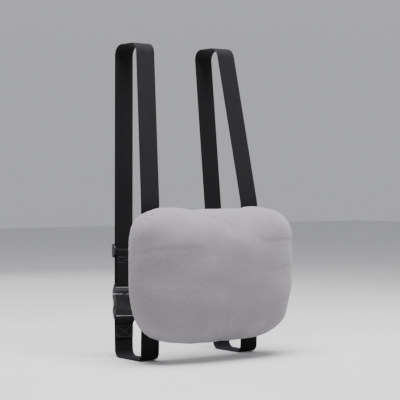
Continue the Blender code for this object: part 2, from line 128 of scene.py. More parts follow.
class Shader:
    """A Principled material that is built up node by node."""

    def __init__(self, name, **fixed):
        self.material = bpy.data.materials.new(name)
        self.material.use_nodes = True
        self.tree = self.material.node_tree
        self.shader = self.tree.nodes["Principled BSDF"]
        for key, value in fixed.items():
            self.shader.inputs[key.replace("_", " ")].default_value = value

    def node(self, kind, inputs=None, **settings):
        made = self.tree.nodes.new(kind)
        for key, value in settings.items():
            setattr(made, key, value)
        for key, value in (inputs or {}).items():
            if isinstance(value, bpy.types.NodeSocket):
                self.tree.links.new(value, made.inputs[key])
            else:
                made.inputs[key].default_value = value
        return made

    def math(self, operation, a, b):
        return self.node("ShaderNodeMath", {0: a, 1: b}, operation=operation).outputs[0]

    def mix(self, *parts):
        """The weighted sum of (value, weight) parts."""
        shares = [self.math("MULTIPLY", value, weight) for value, weight in parts]
        total = shares[0]
        for share in shares[1:]:
            total = self.math("ADD", total, share)
        return total

    def cloth(self):
        """The fabric's own coordinates in metres, stored on the mesh."""
        return self.node("ShaderNodeAttribute", attribute_name="cloth_uv").outputs["Vector"]

    def place(self):
        return self.node("ShaderNodeTexCoord").outputs["Object"]

    def edges(self):
        return self.node("ShaderNodeNewGeometry").outputs["Pointiness"]

    def scaled(self, vector, scale=(1, 1, 1), turn=0.0):
        inputs = {"Vector": vector, "Scale": scale, "Rotation": (0.0, 0.0, turn)}
        return self.node("ShaderNodeMapping", inputs).outputs["Vector"]

    def noise(self, vector, scale, detail=2.0, roughness=0.5):
        inputs = {"Vector": vector, "Scale": scale, "Detail": detail, "Roughness": roughness}
        return self.node("ShaderNodeTexNoise", inputs).outputs["Fac"]

    def wave(self, vector, period, direction, distortion=0.0):
        """Parallel bands; Blender's wave repeats every 0.314 / scale."""
        inputs = {
            "Vector": vector,
            "Scale": 0.1 * math.pi / period,
            "Distortion": distortion,
            "Detail Scale": 1.0,
        }
        return self.node("ShaderNodeTexWave", inputs, bands_direction=direction).outputs["Fac"]

    def colour(self, value, *stops):
        """Base colour from a ramp of (position, colour or grey level) stops."""
        made = self.node("ShaderNodeValToRGB", {"Fac": value})
        elements = made.color_ramp.elements
        while len(elements) < len(stops):
            elements.new(0.5)
        for element, (position, tone) in zip(elements, stops):
            element.position = position
            element.color = (*(tone if isinstance(tone, tuple) else grey(tone)), 1.0)
        self.tree.links.new(made.outputs["Color"], self.shader.inputs["Base Color"])

    def rough(self, value, low, high):
        made = self.node("ShaderNodeMapRange", {"Value": value, "To Min": low, "To Max": high})
        self.tree.links.new(made.outputs["Result"], self.shader.inputs["Roughness"])

    def bump(self, height, distance, strength):
        inputs = {"Height": height, "Distance": distance, "Strength": strength}
        made = self.node("ShaderNodeBump", inputs)
        self.tree.links.new(made.outputs["Normal"], self.shader.inputs["Normal"])


def grey(level):
    return tuple(level * share for share in TINT)


def cover_material():
    """Light grey woven upholstery with a fine melange of lighter and darker yarns."""
    m = Shader("cover_fabric", Sheen_Weight=0.35, Sheen_Roughness=0.45, Specular_IOR_Level=0.25)
    cloth = m.cloth()
    warp_yarn = m.noise(m.scaled(cloth, (1500, 90, 1)), 1.0)
    weft_yarn = m.noise(m.scaled(cloth, (90, 1500, 1)), 1.0)
    blotch = m.noise(cloth, 38.0, 3.0, 0.6)
    fleck = m.noise(cloth, 420.0, 2.0, 0.7)
    mixed = m.mix((warp_yarn, 0.34), (weft_yarn, 0.34), (blotch, 0.08), (fleck, 0.24))
    m.colour(mixed, (0.36, 0.172), (0.5, 0.21), (0.64, 0.248))
    warp = m.wave(cloth, 1.5 * MM, "X", 0.4)
    weft = m.wave(cloth, 1.5 * MM, "Y", 0.4)
    m.bump(m.mix((m.math("MULTIPLY", warp, weft), 0.7), (fleck, 0.5)), 0.5 * MM, 0.75)
    m.rough(fleck, 0.84, 0.98)
    return m.material


def webbing_material():
    """Black elastic webbing: lengthwise cords with fine picks across them."""
    m = Shader("strap_webbing", Sheen_Weight=0.03, Sheen_Roughness=0.4, Specular_IOR_Level=0.14)
    cloth = m.cloth()
    picks = m.wave(cloth, 1.3 * MM, "Y", 0.3)
    cords = m.wave(cloth, 1.2 * MM, "X", 0.1)
    streak = m.noise(m.scaled(cloth, (700, 60, 1)), 1.0)
    dust = m.noise(cloth, 160.0, 3.0, 0.7)
    m.colour(m.mix((streak, 0.5), (picks, 0.3), (dust, 0.2)), (0.25, 0.005), (0.55, 0.009), (0.85, 0.019))
    m.bump(m.mix((picks, 0.6), (cords, 0.5)), 0.3 * MM, 0.8)
    m.rough(dust, 0.74, 0.95)
    return m.material


def plastic_material():
    """Black acetal with a fine spark-eroded grain and slightly polished edges."""
    m = Shader("buckle_plastic", Specular_IOR_Level=0.5)
    grain = m.noise(m.place(), 2600.0, 2.0, 0.6)
    scuff = m.noise(m.scaled(m.place(), (900, 900, 90)), 1.0, 3.0, 0.7)
    m.colour(m.mix((m.edges(), 1.0), (scuff, 0.05)), (0.50, 0.013), (0.57, 0.020), (0.62, 0.060))
    m.bump(m.mix((grain, 1.0), (scuff, 0.6)), 0.06 * MM, 0.5)
    m.rough(scuff, 0.32, 0.56)
    return m.material


def metal_material():
    """Dark plated zinc of the zip's slider, worn brighter at the edges."""
    m = Shader("zip_metal", Metallic=0.85)
    fine = m.noise(m.place(), 1800.0, 3.0, 0.7)
    m.colour(m.mix((m.edges(), 1.0), (fine, 0.06)), (0.50, 0.055), (0.57, 0.10), (0.63, 0.42))
    m.bump(fine, 0.03 * MM, 0.5)
    m.rough(fine, 0.26, 0.5)
    return m.material


def tape_material():
    """Polyester zip tape with a slanting twill."""
    m = Shader("zip_tape", Sheen_Weight=0.15, Specular_IOR_Level=0.25)
    cloth = m.cloth()
    rows = m.wave(cloth, 0.9 * MM, "Y", 0.2)
    slant = m.wave(m.scaled(cloth, turn=0.78), 1.1 * MM, "X", 0.2)
    fleck = m.noise(cloth, 700.0)
    m.colour(m.mix((slant, 0.4), (fleck, 0.6)), (0.25, 0.10), (0.75, 0.17))
    m.bump(m.mix((rows, 1.0), (slant, 1.0)), 0.2 * MM, 0.6)
    m.rough(fleck, 0.8, 0.95)
    return m.material


def coil_material():
    m = Shader("zip_coil", Specular_IOR_Level=0.5)
    fine = m.noise(m.place(), 1500.0)
    m.colour(fine, (0.3, 0.075), (0.7, 0.12))
    m.rough(fine, 0.32, 0.5)
    return m.material


def thread_material(name, dark, light):
    m = Shader(name, Sheen_Weight=0.2)
    twist = m.wave(m.scaled(m.place(), turn=0.6), 0.5 * MM, "DIAGONAL")
    fleck = m.noise(m.place(), 900.0)
    m.colour(m.mix((twist, 0.5), (fleck, 0.5)), (0.2, dark), (0.8, light))
    m.bump(twist, 0.1 * MM, 0.6)
    m.rough(fleck, 0.6, 0.85)
    return m.material


def label_material():
    m = Shader("label", Sheen_Weight=0.2)
    cloth = m.cloth()
    satin = m.wave(m.scaled(cloth, turn=0.4), 0.5 * MM, "Y", 0.3)
    fleck = m.noise(cloth, 500.0, 3.0)
    m.colour(fleck, (0.3, 0.62), (0.7, 0.68))
    m.bump(satin, 0.08 * MM, 0.6)
    m.rough(fleck, 0.55, 0.8)
    return m.material


def wadding_material():
    m = Shader("wadding", Sheen_Weight=0.4)
    fibres = m.noise(m.scaled(m.place(), (900, 140, 500)), 1.0, 5.0, 0.8)
    m.colour(fibres, (0.3, 0.66), (0.7, 0.86))
    m.bump(fibres, 0.8 * MM, 0.8)
    m.rough(fibres, 0.9, 1.0)
    return m.material


def foam_material():
    m = Shader("foam")
    cells = m.node("ShaderNodeTexVoronoi", {"Vector": m.place(), "Scale": 900.0})
    tone = m.noise(m.place(), 45.0, 3.0)
    m.colour(tone, (0.3, (0.70, 0.66, 0.52)), (0.7, (0.80, 0.77, 0.66)))
    m.bump(cells.outputs["Distance"], 0.4 * MM, 0.7)
    m.rough(tone, 0.88, 0.98)
    return m.material


MATERIALS = {
    "cover_fabric": cover_material(),
    "strap_webbing": webbing_material(),
    "buckle_plastic": plastic_material(),
    "zip_metal": metal_material(),
    "zip_tape": tape_material(),
    "zip_coil": coil_material(),
    "cover_thread": thread_material("cover_thread", 0.30, 0.44),
    "strap_thread": thread_material("strap_thread", 0.018, 0.05),
    "label": label_material(),
    "wadding": wadding_material(),
    "foam": foam_material(),
}


# ---------------------------------------------------------------- mesh helpers


def link(name, mesh, material):
    obj = bpy.data.objects.new(name, mesh)
    SCENE.collection.objects.link(obj)
    mesh.materials.clear()
    mesh.materials.append(MATERIALS[material])
    return obj


def mesh_from(name, verts, faces, smooth=True):
    mesh = bpy.data.meshes.new(name)
    mesh.from_pydata([tuple(v) for v in verts], [], [tuple(f) for f in faces])
    mesh.validate()
    if smooth:
        mesh.shade_smooth()
    return mesh


def store_cloth(mesh, uv):
    """Keep each vertex's place on the flat fabric, in metres."""
    flat = np.zeros((len(mesh.vertices), 3), np.float32)
    flat[:, : uv.shape[1]] = uv
    made = mesh.attributes.get("cloth_uv") or mesh.attributes.new("cloth_uv", "FLOAT_VECTOR", "POINT")
    made.data.foreach_set("vector", flat.ravel())


def read_cloth(mesh):
    flat = np.zeros(len(mesh.vertices) * 3, np.float32)
    mesh.attributes["cloth_uv"].data.foreach_get("vector", flat)
    return flat.reshape(-1, 3)


def coordinates(mesh):
    co = np.zeros(len(mesh.vertices) * 3)
    mesh.vertices.foreach_get("co", co)
    return co.reshape(-1, 3)


def set_coordinates(mesh, co):
    mesh.vertices.foreach_set("co", np.ascontiguousarray(co, float).ravel())
    mesh.update()


def normals(mesh):
    n = np.zeros(len(mesh.vertices) * 3)
    mesh.vertices.foreach_get("normal", n)
    return n.reshape(-1, 3)


def fix_normals(mesh):
    bm = bmesh.new()
    bm.from_mesh(mesh)
    bmesh.ops.recalc_face_normals(bm, faces=bm.faces)
    bm.to_mesh(mesh)
    bm.free()


def settle(obj):
    """Apply an object's modifiers to its mesh."""
    bpy.context.view_layer.update()
    evaluated = obj.evaluated_get(bpy.context.evaluated_depsgraph_get())
    mesh = bpy.data.meshes.new_from_object(evaluated)
    obj.modifiers.clear()
    old = obj.data
    obj.data = mesh
    bpy.data.meshes.remove(old)


def subdivide(obj):
    modifier = obj.modifiers.new("fine", "SUBSURF")
    modifier.levels = 1
    modifier.render_levels = 1
    settle(obj)


def soften(values, low, high):
    """Smooth step from 0 at low to 1 at high."""
    t = np.clip((np.asarray(values, float) - low) / (high - low), 0, 1)
    return t * t * (3 - 2 * t)


class Ripple:
    """Smooth repeatable noise: a few sine waves with seeded directions and phases."""

    def __init__(self, dimensions, wavelength, waves=7):
        spread = rng.uniform(0.6, 1.7, waves) * 2 * math.pi / wavelength
        ways = rng.normal(size=(waves, dimensions))
        ways /= np.linalg.norm(ways, axis=1)[:, None]
        self.k = ways * spread[:, None]
        self.phase = rng.uniform(0, 2 * math.pi, waves)

    def __call__(self, points):
        points = np.asarray(points, float)
        if points.ndim == 1:
            points = points[:, None]
        return np.sin(points @ self.k.T + self.phase).sum(1) / math.sqrt(len(self.phase) / 2)


# ---------------------------------------------------------------- cushion


class Crown:
    """The shape of the front cover, as a square sheet laid over the padding.

    A point of the sheet is (s, t) in -1..1; the sheet's edge is the back seam. Its ring is
    max(|s|, |t|), 0 at the crown and 1 at the seam.
    """

    def __init__(self):
        self.across = self.section(HALF_W - START_SMALLER, 2.6)
        self.upright = self.section(HALF_H - START_SMALLER, 2.7)
        self.length_x = self.across[3]
        self.length_z = self.upright[3]

    def section(self, reach, power):
        """Radius and y along one section, by share of its length from the crown."""
        turn = np.linspace(0, math.pi / 2, 120)
        front_depth = DEPTH - START_SMALLER + WIDEST_Y
        radius = reach * np.sin(turn) ** (2 / power)
        y = WIDEST_Y - front_depth * np.cos(turn) ** (2 / power)
        inset = SEAM_INSET - START_SMALLER
        back_turn = np.linspace(0, math.pi / 2, 40)[1:]
        back_radius = reach - inset * (1 - np.cos(back_turn))
        back_y = WIDEST_Y + (SEAM_Y - WIDEST_Y) * np.sin(back_turn)
        radius = np.r_[radius, back_radius]
        y = np.r_[y, back_y]
        steps = np.r_[0, np.cumsum(np.hypot(np.diff(radius), np.diff(y)))]
        return steps / steps[-1], radius, y, steps[-1]

    def ring(self, s, t):
        return np.maximum(np.abs(s), np.abs(t))

    def __call__(self, s, t):
        rho = self.ring(s, t)
        safe = np.maximum(rho, 1e-9)
        power = CROWN_POWER + (SEAM_POWER - CROWN_POWER) * soften(rho, 0.25, 0.8)
        corner = 2 ** (-1 / power)
        side = np.abs(s) >= np.abs(t)
        minor = np.where(side, t, s) / safe * corner
        major = (1 - np.abs(minor) ** power) ** (1 / power)
        unit_x = np.where(side, np.sign(s) * major, minor)
        unit_z = np.where(side, minor, np.sign(t) * major)
        share, radius_x, y_x, _ = self.across
        _, radius_z, y_z, _ = self.upright
        x = np.interp(rho, share, radius_x) * unit_x
        z = np.interp(rho, self.upright[0], radius_z) * unit_z
        weight = np.abs(unit_x) ** 6 / (np.abs(unit_x) ** 6 + np.abs(unit_z) ** 6 + 1e-12)
        y = np.interp(rho, share, y_x) * weight
        y += np.interp(rho, self.upright[0], y_z) * (1 - weight)
        return np.stack(shape_outline(x, z, y), -1)


def shape_outline(x, z, y):
    """Draw in the lower corners, and let the top edge dip between the two straps."""
    low = np.clip(-z / HALF_H, 0, 1) ** 2
    x = x * (1 - LOW_CORNER_CUT * low)
    high = np.clip(z / HALF_H, 0, 1) ** 3
    between = 1 - np.exp(-(((np.abs(x) - STRAP_X) / (42 * MM)) ** 2))
    inside = soften(STRAP_X - np.abs(x), 0, 20 * MM)
    z = z - high * between * inside * 8.5 * MM
    lift = np.clip(1 - (x / (120 * MM)) ** 2, 0, 1) * np.clip(-z / HALF_H, 0, 1) ** 3
    z = z + lift * 3 * MM
    return x, y, z


def seam_point(angle, inset=0.0):
    """A point of the back seam's outline in the plane of the back, drawn in by inset."""
    power = 2 / SEAM_POWER
    across, up = np.cos(angle), np.sin(angle)
    reach_x = HALF_W - SEAM_INSET - inset
    reach_z = HALF_H - SEAM_INSET - inset
    x = np.sign(across) * np.abs(across) ** power * reach_x
    z = np.sign(up) * np.abs(up) ** power * reach_z
    x, _, z = shape_outline(x, z, 0)
    return x, z


def seam_outline(inset, spacing=2.5 * MM):
    """The seam's outline as evenly spaced (x, z) points."""
    x, z = seam_point(np.linspace(0, 2 * math.pi, 4001), inset)
    steps = np.r_[0, np.cumsum(np.hypot(np.diff(x), np.diff(z)))]
    count = int(steps[-1] / spacing)
    at = np.arange(count) * steps[-1] / count
    return np.stack([np.interp(at, steps, x), np.interp(at, steps, z)], 1)


def sheet_grid(count_x, count_z):
    """A square sheet's coordinates in -1..1, and its faces."""
    s, t = np.meshgrid(np.linspace(-1, 1, count_x), np.linspace(-1, 1, count_z))
    starts = [row * count_x + column for row in range(count_z - 1) for column in range(count_x - 1)]
    faces = [(a, a + 1, a + 1 + count_x, a + count_x) for a in starts]
    return s.ravel(), t.ravel(), faces


def border(count_x, count_z):
    """The sheet's edge as one loop of vertex numbers."""
    last = count_x * (count_z - 1)
    loop = list(range(count_x))
    loop += [row * count_x + count_x - 1 for row in range(1, count_z)]
    loop += [last + column for column in range(count_x - 2, -1, -1)]
    loop += [row * count_x for row in range(count_z - 2, 0, -1)]
    return loop


def double_sheet(name, outer, inner, count_x, count_z):
    """A closed mesh between two sheets of the same grid."""
    _, _, faces = sheet_grid(count_x, count_z)
    edge = border(count_x, count_z)
    total = len(outer)
    back = [tuple(i + total for i in f[::-1]) for f in faces]
    walls = [(b, a, a + total, b + total) for a, b in zip(edge, edge[1:] + edge[:1])]
    return mesh_from(name, np.r_[outer, inner], faces + back + walls)


def inflate(obj, pinned):
    """Blow the cover up with cloth simulation, held at the seam, and keep the result."""
    start = coordinates(obj.data)
    group = obj.vertex_groups.new(name="held")
    group.add([int(n) for n in np.flatnonzero(pinned)], 1.0, "REPLACE")
    modifier = obj.modifiers.new("cloth", "CLOTH")
    settings = modifier.settings
    settings.quality = 6
    settings.mass = 0.3
    settings.tension_stiffness = 25
    settings.compression_stiffness = 25
    settings.shear_stiffness = 12
    settings.bending_stiffness = 3
    settings.use_pressure = True
    settings.uniform_pressure_force = PRESSURE
    settings.effector_weights.gravity = 0
    settings.vertex_group_mass = "held"
    settings.shrink_min = -SLACK
    modifier.collision_settings.use_collision = False
    modifier.point_cache.frame_start = 1
    modifier.point_cache.frame_end = FRAMES
    for number in range(1, FRAMES + 1):
        SCENE.frame_set(number)
    settle(obj)
    SCENE.frame_set(1)
    obj.vertex_groups.clear()
    moved = coordinates(obj.data) - start
    length = np.linalg.norm(moved, axis=1)
    share = np.where(length > 1e-9, SWELL_CAP * np.tanh(length / SWELL_CAP) / np.maximum(length, 1e-9), 1)
    set_coordinates(obj.data, start + moved * share[:, None])


def perimeter(s, t):
    """Distance along the ring through (s, t), in metres, for what repeats along the seam."""
    angle = np.arctan2(t * HALF_H, s * HALF_W)
    return angle * (HALF_W + HALF_H) / 2


def sewn_details(crown, mesh):
    """Puckers along the seam, folds at the straps, slack creases, and darts at the corners."""
    cloth = read_cloth(mesh)
    s, t = cloth[:, 0] / crown.length_x, cloth[:, 1] / crown.length_z
    rho = crown.ring(s, t)
    seam_distance = (1 - rho) * (crown.length_x + crown.length_z) / 2
    along = perimeter(s, t)
    gathers = Ripple(1, 13 * MM, 9)(along)
    creases = -np.abs(gathers) ** 0.7
    height = creases * 0.75 * MM * np.exp(-seam_distance / (11 * MM))
    broad = Ripple(2, 105 * MM, 8)(cloth[:, :2])
    height += broad * 0.8 * MM * soften(seam_distance, 8 * MM, 60 * MM)
    for side in (-1, 1):
        anchor = np.array([side * STRAP_X * 1.12, crown.length_z])
        away = cloth[:, :2] - anchor
        distance = np.hypot(away[:, 0], away[:, 1])
        angle = np.arctan2(away[:, 0], -away[:, 1])
        fold = np.cos(angle * 7 + side * 0.8) + 0.5 * np.cos(angle * 13 + 1.7)
        height += fold * 1.0 * MM * np.exp(-distance / (34 * MM)) * soften(distance, 3 * MM, 14 * MM)
    for way, level, tilt, reach, depth in CREASES:
        inward = crown.length_x - way * cloth[:, 0]
        off = cloth[:, 1] - level - tilt * inward - 2 * MM * np.sin(inward / (41 * MM))
        profile = np.exp(-((off / (5 * MM)) ** 2)) - 0.8 * np.exp(-(((off - 9 * MM) / (7 * MM)) ** 2))
        fade = soften(inward, 20 * MM, 70 * MM) * soften(reach - inward, 0, 70 * MM)
        height -= depth * profile * fade
    off_corner = np.abs(np.abs(s) - np.abs(t)) * (crown.length_x + crown.length_z) / 2
    reach = soften(rho, 0.70, 0.78)
    groove = -1.3 * MM * np.exp(-((off_corner / (1.9 * MM)) ** 2))
    swell = 0.7 * MM * np.exp(-(((off_corner - 5 * MM) / (3.2 * MM)) ** 2))
    height += (groove + swell) * reach
    return height * soften(seam_distance, 0, 3 * MM)


def make_front_cover():
    """The front cover as one sheet, blown up with cloth simulation, then given its sewn details."""
    crown = Crown()
    s, t, faces = sheet_grid(*COVER_GRID)
    mesh = mesh_from("front_cover", crown(s, t), faces)
    store_cloth(mesh, np.stack([s * crown.length_x, t * crown.length_z], 1))
    cover = link("front_cover_sewn", mesh, "cover_fabric")
    inflate(cover, crown.ring(s, t) > 0.9999)
    subdivide(cover)
    mesh = cover.data
    co = coordinates(mesh)
    co += normals(mesh) * sewn_details(crown, mesh)[:, None]
    set_coordinates(mesh, keep_to_size(crown, mesh, co))
    mesh.shade_smooth()
    return cover, crown


def keep_to_size(crown, mesh, co):
    """Draw the blown-up cover back to the cushion's real size, leaving the seam alone."""
    cloth = read_cloth(mesh)
    rho = crown.ring(cloth[:, 0] / crown.length_x, cloth[:, 1] / crown.length_z)
    free = soften(1 - rho, 0.0, 0.12)
    for axis, limit in ((0, HALF_W), (1, DEPTH), (2, HALF_H)):
        far = np.where(co[:, axis] > 0, co[:, axis].max(), -co[:, axis].min())
        scale = np.minimum(1, limit / np.maximum(far, 1e-6))
        co[:, axis] *= 1 + (scale - 1) * free
    return co


def under_cover(cover, crown, depth):
    """The sheet that lies at a depth under the cover's finished surface."""
    s, t, _ = sheet_grid(*PADDING_GRID)
    co, n = coordinates(cover.data), normals(cover.data)
    cloth = read_cloth(cover.data)
    goal = np.stack([s * crown.length_x, t * crown.length_z], 1) * 0.985
    tree = KDTree(len(cloth))
    for index, point in enumerate(cloth):
        tree.insert(point, index)
    tree.balance()
    found = [tree.find((u, v, 0))[1] for u, v in goal]
    sheet = co[found] - n[found] * depth
    sheet[:, 1] = np.minimum(sheet[:, 1], PADDING_BACK_Y)
    return sheet, n[found]


def make_padding(cover, crown):
    """The wadding under the cover, and the foam block under the wadding."""
    outer, outward = under_cover(cover, crown, WADDING_DEPTH)
    inner = outer - outward * WADDING_T
    inner[:, 1] = np.minimum(inner[:, 1], PADDING_BACK_Y)
    mesh = double_sheet("wadding_layer", outer, inner, *PADDING_GRID)
    wadding = link("wadding_layer", mesh, "wadding")
    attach(wadding, "cushion")
    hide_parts("wadding_wrap")
    outer, _ = under_cover(cover, crown, FOAM_DEPTH)
    s, t, _ = sheet_grid(*PADDING_GRID)
    rho = crown.ring(s, t)
    safe = np.maximum(rho, 1e-9)
    back = crown(s / safe, t / safe) * rho[:, None] * 0.93
    back[:, 1] = PADDING_BACK_Y
    mesh = double_sheet("foam_block", outer, back, *PADDING_GRID)
    foam = link("foam_block", mesh, "foam")
    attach(foam, "cushion")
    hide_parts("foam_core")


def thicken(obj):
    modifier = obj.modifiers.new("thickness", "SOLIDIFY")
    modifier.thickness = FABRIC
    modifier.offset = -1
    settle(obj)
    obj.data.shade_smooth()


# ---------------------------------------------------------------- back panels


def panel_height(x, z, seam_distance, slot_distance, pucker, ripple):
    """How far the back panel's outside stands from the plane of the back."""
    y = SEAM_Y * np.exp(-seam_distance / (1.6 * MM))
    off_seam = soften(seam_distance, 0, 2.5 * MM)
    y -= 0.30 * MM * soften(14 * MM - seam_distance, 0, 14 * MM) * off_seam
    along = np.arctan2(z, x) * (HALF_W + HALF_H) / 2
    y += np.minimum(0, pucker(along)) * 0.45 * MM * np.exp(-seam_distance / (8 * MM)) * off_seam
    y -= 0.75 * MM * np.exp(-slot_distance / (0.7 * MM))
    y -= 0.30 * MM * np.exp(-(((slot_distance - 2.6 * MM) / (0.6 * MM)) ** 2))
    y += ripple(np.stack([x, z], 1)) * 0.22 * MM * soften(seam_distance, 4 * MM, 30 * MM)
    return np.minimum(y, 0.25 * MM)


def panel_outline(side):
    """The sewn outline above or below the zip, then the edge along the zip."""
    split = ZIP_Z + side * 0.1 * MM
    slot = ZIP_Z + side * SLOT_HALF
    ring = seam_outline(-OVERLAP)
    keep = ring[(ring[:, 1] - split) * side > 1.0 * MM]
    order = np.argsort(np.arctan2(keep[:, 0], (keep[:, 1] - split) * side))
    keep = keep[order]
    dense = seam_outline(-OVERLAP, 0.5 * MM)
    near = dense[(np.abs(dense[:, 1] - split) < 1 * MM) & (dense[:, 0] > 0)]
    edge_x = float(near[:, 0].mean())
    flat = np.arange(edge_x - 3 * MM, SLOT_END, -3 * MM)
    zip_line = np.arange(SLOT_END, -SLOT_END - 1e-6, -2.5 * MM)
    lower_edge = [(edge_x, split)] + [(x, split) for x in flat] + [(SLOT_END, split)]
    lower_edge += [(x, slot) for x in zip_line]
    lower_edge += [(-SLOT_END, split)] + [(-x, split) for x in flat[::-1]] + [(-edge_x, split)]
    return np.r_[keep, np.array(lower_edge)]


def outward_from(points):
    """Unit directions away from the middle, square to the outline."""
    reach = np.array([HALF_W - SEAM_INSET, HALF_H - SEAM_INSET])
    way = np.sign(points) * np.abs(points / reach) ** (SEAM_POWER - 1) / reach
    return way / np.maximum(np.linalg.norm(way, axis=1), 1e-12)[:, None]


def inside_polygon(points, polygon):
    """Even-odd test of many points against one polygon."""
    inside = np.zeros(len(points), bool)
    for a, b in zip(polygon, np.roll(polygon, -1, 0)):
        crosses = (a[1] > points[:, 1]) != (b[1] > points[:, 1])
        if crosses.any():
            at = (b[0] - a[0]) * (points[:, 1] - a[1]) / (b[1] - a[1] + 1e-15) + a[0]
            inside ^= crosses & (points[:, 0] < at)
    return inside


def distance_to(points, outline, closed=True):
    """Shortest distance from each point to a polyline."""
    best = np.full(len(points), 1e9)
    following = np.roll(outline, -1, 0) if closed else outline[1:]
    for a, b in zip(outline, following):
        along = b - a
        share = np.clip(((points - a) @ along) / (along @ along + 1e-15), 0, 1)
        best = np.minimum(best, np.linalg.norm(points - a - share[:, None] * along, axis=1))
    return best


def make_back_panel(word, side):
    """One half of the back, sewn to the front cover and folded in along the zip."""
    outline = panel_outline(side)
    grid_x, grid_z = np.meshgrid(np.arange(-0.153, 0.154, 3.2 * MM), np.arange(-0.11, 0.111, 3.2 * MM))
    fill = [np.stack([grid_x.ravel(), grid_z.ravel()], 1)]
    fill += [seam_outline(inset) for inset in (1 * MM, 2.3 * MM, 4.2 * MM)]
    slot_z = ZIP_Z + side * SLOT_HALF
    x = np.arange(-SLOT_END, SLOT_END, 2.0 * MM)
    fill += [
        np.stack([x, np.full_like(x, slot_z + side * step)], 1)
        for step in (0.5 * MM, 1.1 * MM, 1.9 * MM, 2.6 * MM, 3.3 * MM, 4.6 * MM)
    ]
    points = np.concatenate(fill)
    points = points[inside_polygon(points, outline)]
    points = points[distance_to(points, outline) > 0.45 * MM]
    all_points = np.r_[outline, points]
    count = len(outline)
    edges = [(n, (n + 1) % count) for n in range(count)]
    flat, _, faces, *_ = delaunay_2d_cdt([Vector(p) for p in all_points], edges, [], 1, 1e-6)
    flat = np.array([tuple(v) for v in flat])
    seam = outline[: np.argmax(np.abs(outline[:, 1] - (ZIP_Z + side * 0.1 * MM)) < 1e-6)]
    slot = np.array([[-SLOT_END, slot_z], [SLOT_END, slot_z]])
    pucker, ripple = Ripple(1, 12 * MM, 9), Ripple(2, 60 * MM, 8)

    def surface(x, z):
        at = np.stack([x, z], 1)
        to_seam, to_slot = (distance_to(at, line, closed=False) for line in (seam, slot))
        return panel_height(x, z, to_seam, to_slot, pucker, ripple)

    outer = np.stack([flat[:, 0], surface(*flat.T), flat[:, 1]], 1)
    inner = outer - np.array([0, FABRIC, 0])
    sewn = (distance_to(flat, seam, closed=False) < 0.2 * MM)[:, None]
    inner -= np.array([0, ALLOWANCE, 0]) * sewn
    inner[:, [0, 2]] += outward_from(flat) * ALLOWANCE / 6 * sewn
    verts = np.r_[outer, inner]
    total = len(flat)
    top = [tuple(f) for f in faces]
    bottom = [tuple(i + total for i in f[::-1]) for f in top]
    used = dict.fromkeys((a, b) for f in top for a, b in zip(f, f[1:] + f[:1]))
    walls = [(b, a, a + total, b + total) for a, b in used if (b, a) not in used]
    node = f"back_cover_{word}"
    mesh = mesh_from(f"{node}_sewn", verts, top + bottom + walls)
    fix_normals(mesh)
    mesh.set_sharp_from_angle(angle=math.radians(60))
    store_cloth(mesh, np.r_[flat, flat])
    panel = link(f"{node}_sewn", mesh, "cover_fabric")
    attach(panel, "cushion")
    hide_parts(node)
    return surface


# ---------------------------------------------------------------- stitches


def tube(points, radius):
    """Vertices and faces of a closed round tube along points."""
    points = np.asarray(points, float)
    tangents = np.gradient(points, axis=0)
    tangents /= np.linalg.norm(tangents, axis=1)[:, None]
    helper = np.array([0.0, 1.0, 0.0]) if abs(tangents[0][1]) < 0.8 else np.array([1.0, 0.0, 0.0])
    first = np.cross(tangents, helper)
    first /= np.linalg.norm(first, axis=1)[:, None]
    second = np.cross(tangents, first)
    radii = np.broadcast_to(radius, len(points))[:, None, None]
    turns = np.arange(TUBE_SIDES) * 2 * math.pi / TUBE_SIDES
    around = first[:, None] * np.cos(turns)[None, :, None] + second[:, None] * np.sin(turns)[None, :, None]
    verts = (points[:, None] + around * radii).reshape(-1, 3)
    return verts, tube_faces(len(points), TUBE_SIDES)


def tube_faces(rings, sides):
    """The walls and the two ends of a tube of rings."""
    faces = []
    for n in range(rings - 1):
        for k in range(sides):
            a, b = n * sides + k, n * sides + (k + 1) % sides
            faces.append((a, b, b + sides, a + sides))
    faces.append(tuple(range(sides))[::-1])
    faces.append(tuple((rings - 1) * sides + k for k in range(sides)))
    return faces


def joined(pieces):
    """Several (verts, faces) as one."""
    verts, faces, start = [], [], 0
    for piece_verts, piece_faces in pieces:
        verts.append(piece_verts)
        faces += [tuple(i + start for i in f) for f in piece_faces]
        start += len(piece_verts)
    return np.concatenate(verts), faces


def stitch_row(path, outward, length=2.8 * MM, gap=0.9 * MM, radius=0.32 * MM):
    """Thread stitches along a polyline that lies on a surface; outward points off it."""
    path = np.asarray(path, float)
    steps = np.r_[0, np.cumsum(np.linalg.norm(np.diff(path, axis=0), axis=1))]
    count = max(1, int(steps[-1] / (length + gap)))
    pitch = steps[-1] / count
    outward = np.asarray(outward, float)
    share = np.array([0.0, 0.12, 0.35, 0.65, 0.88, 1.0])
    lift = np.array([-0.9, 0.15, 0.55, 0.55, 0.15, -0.9]) * radius
    pieces = []
    for n in range(count):
        at = n * pitch + gap / 2 + share * (pitch - gap)
        points = np.stack([np.interp(at, steps, path[:, k]) for k in range(3)], 1)
        points = points + outward * lift[:, None]
        radii = radius * np.array([0.7, 1.0, 1.05, 1.05, 1.0, 0.7])
        pieces.append(tube(points, radii))
    return joined(pieces)


def thread(name, rows, body, material):
    obj = link(name, mesh_from(name, *joined(rows)), material)
    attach(obj, body)


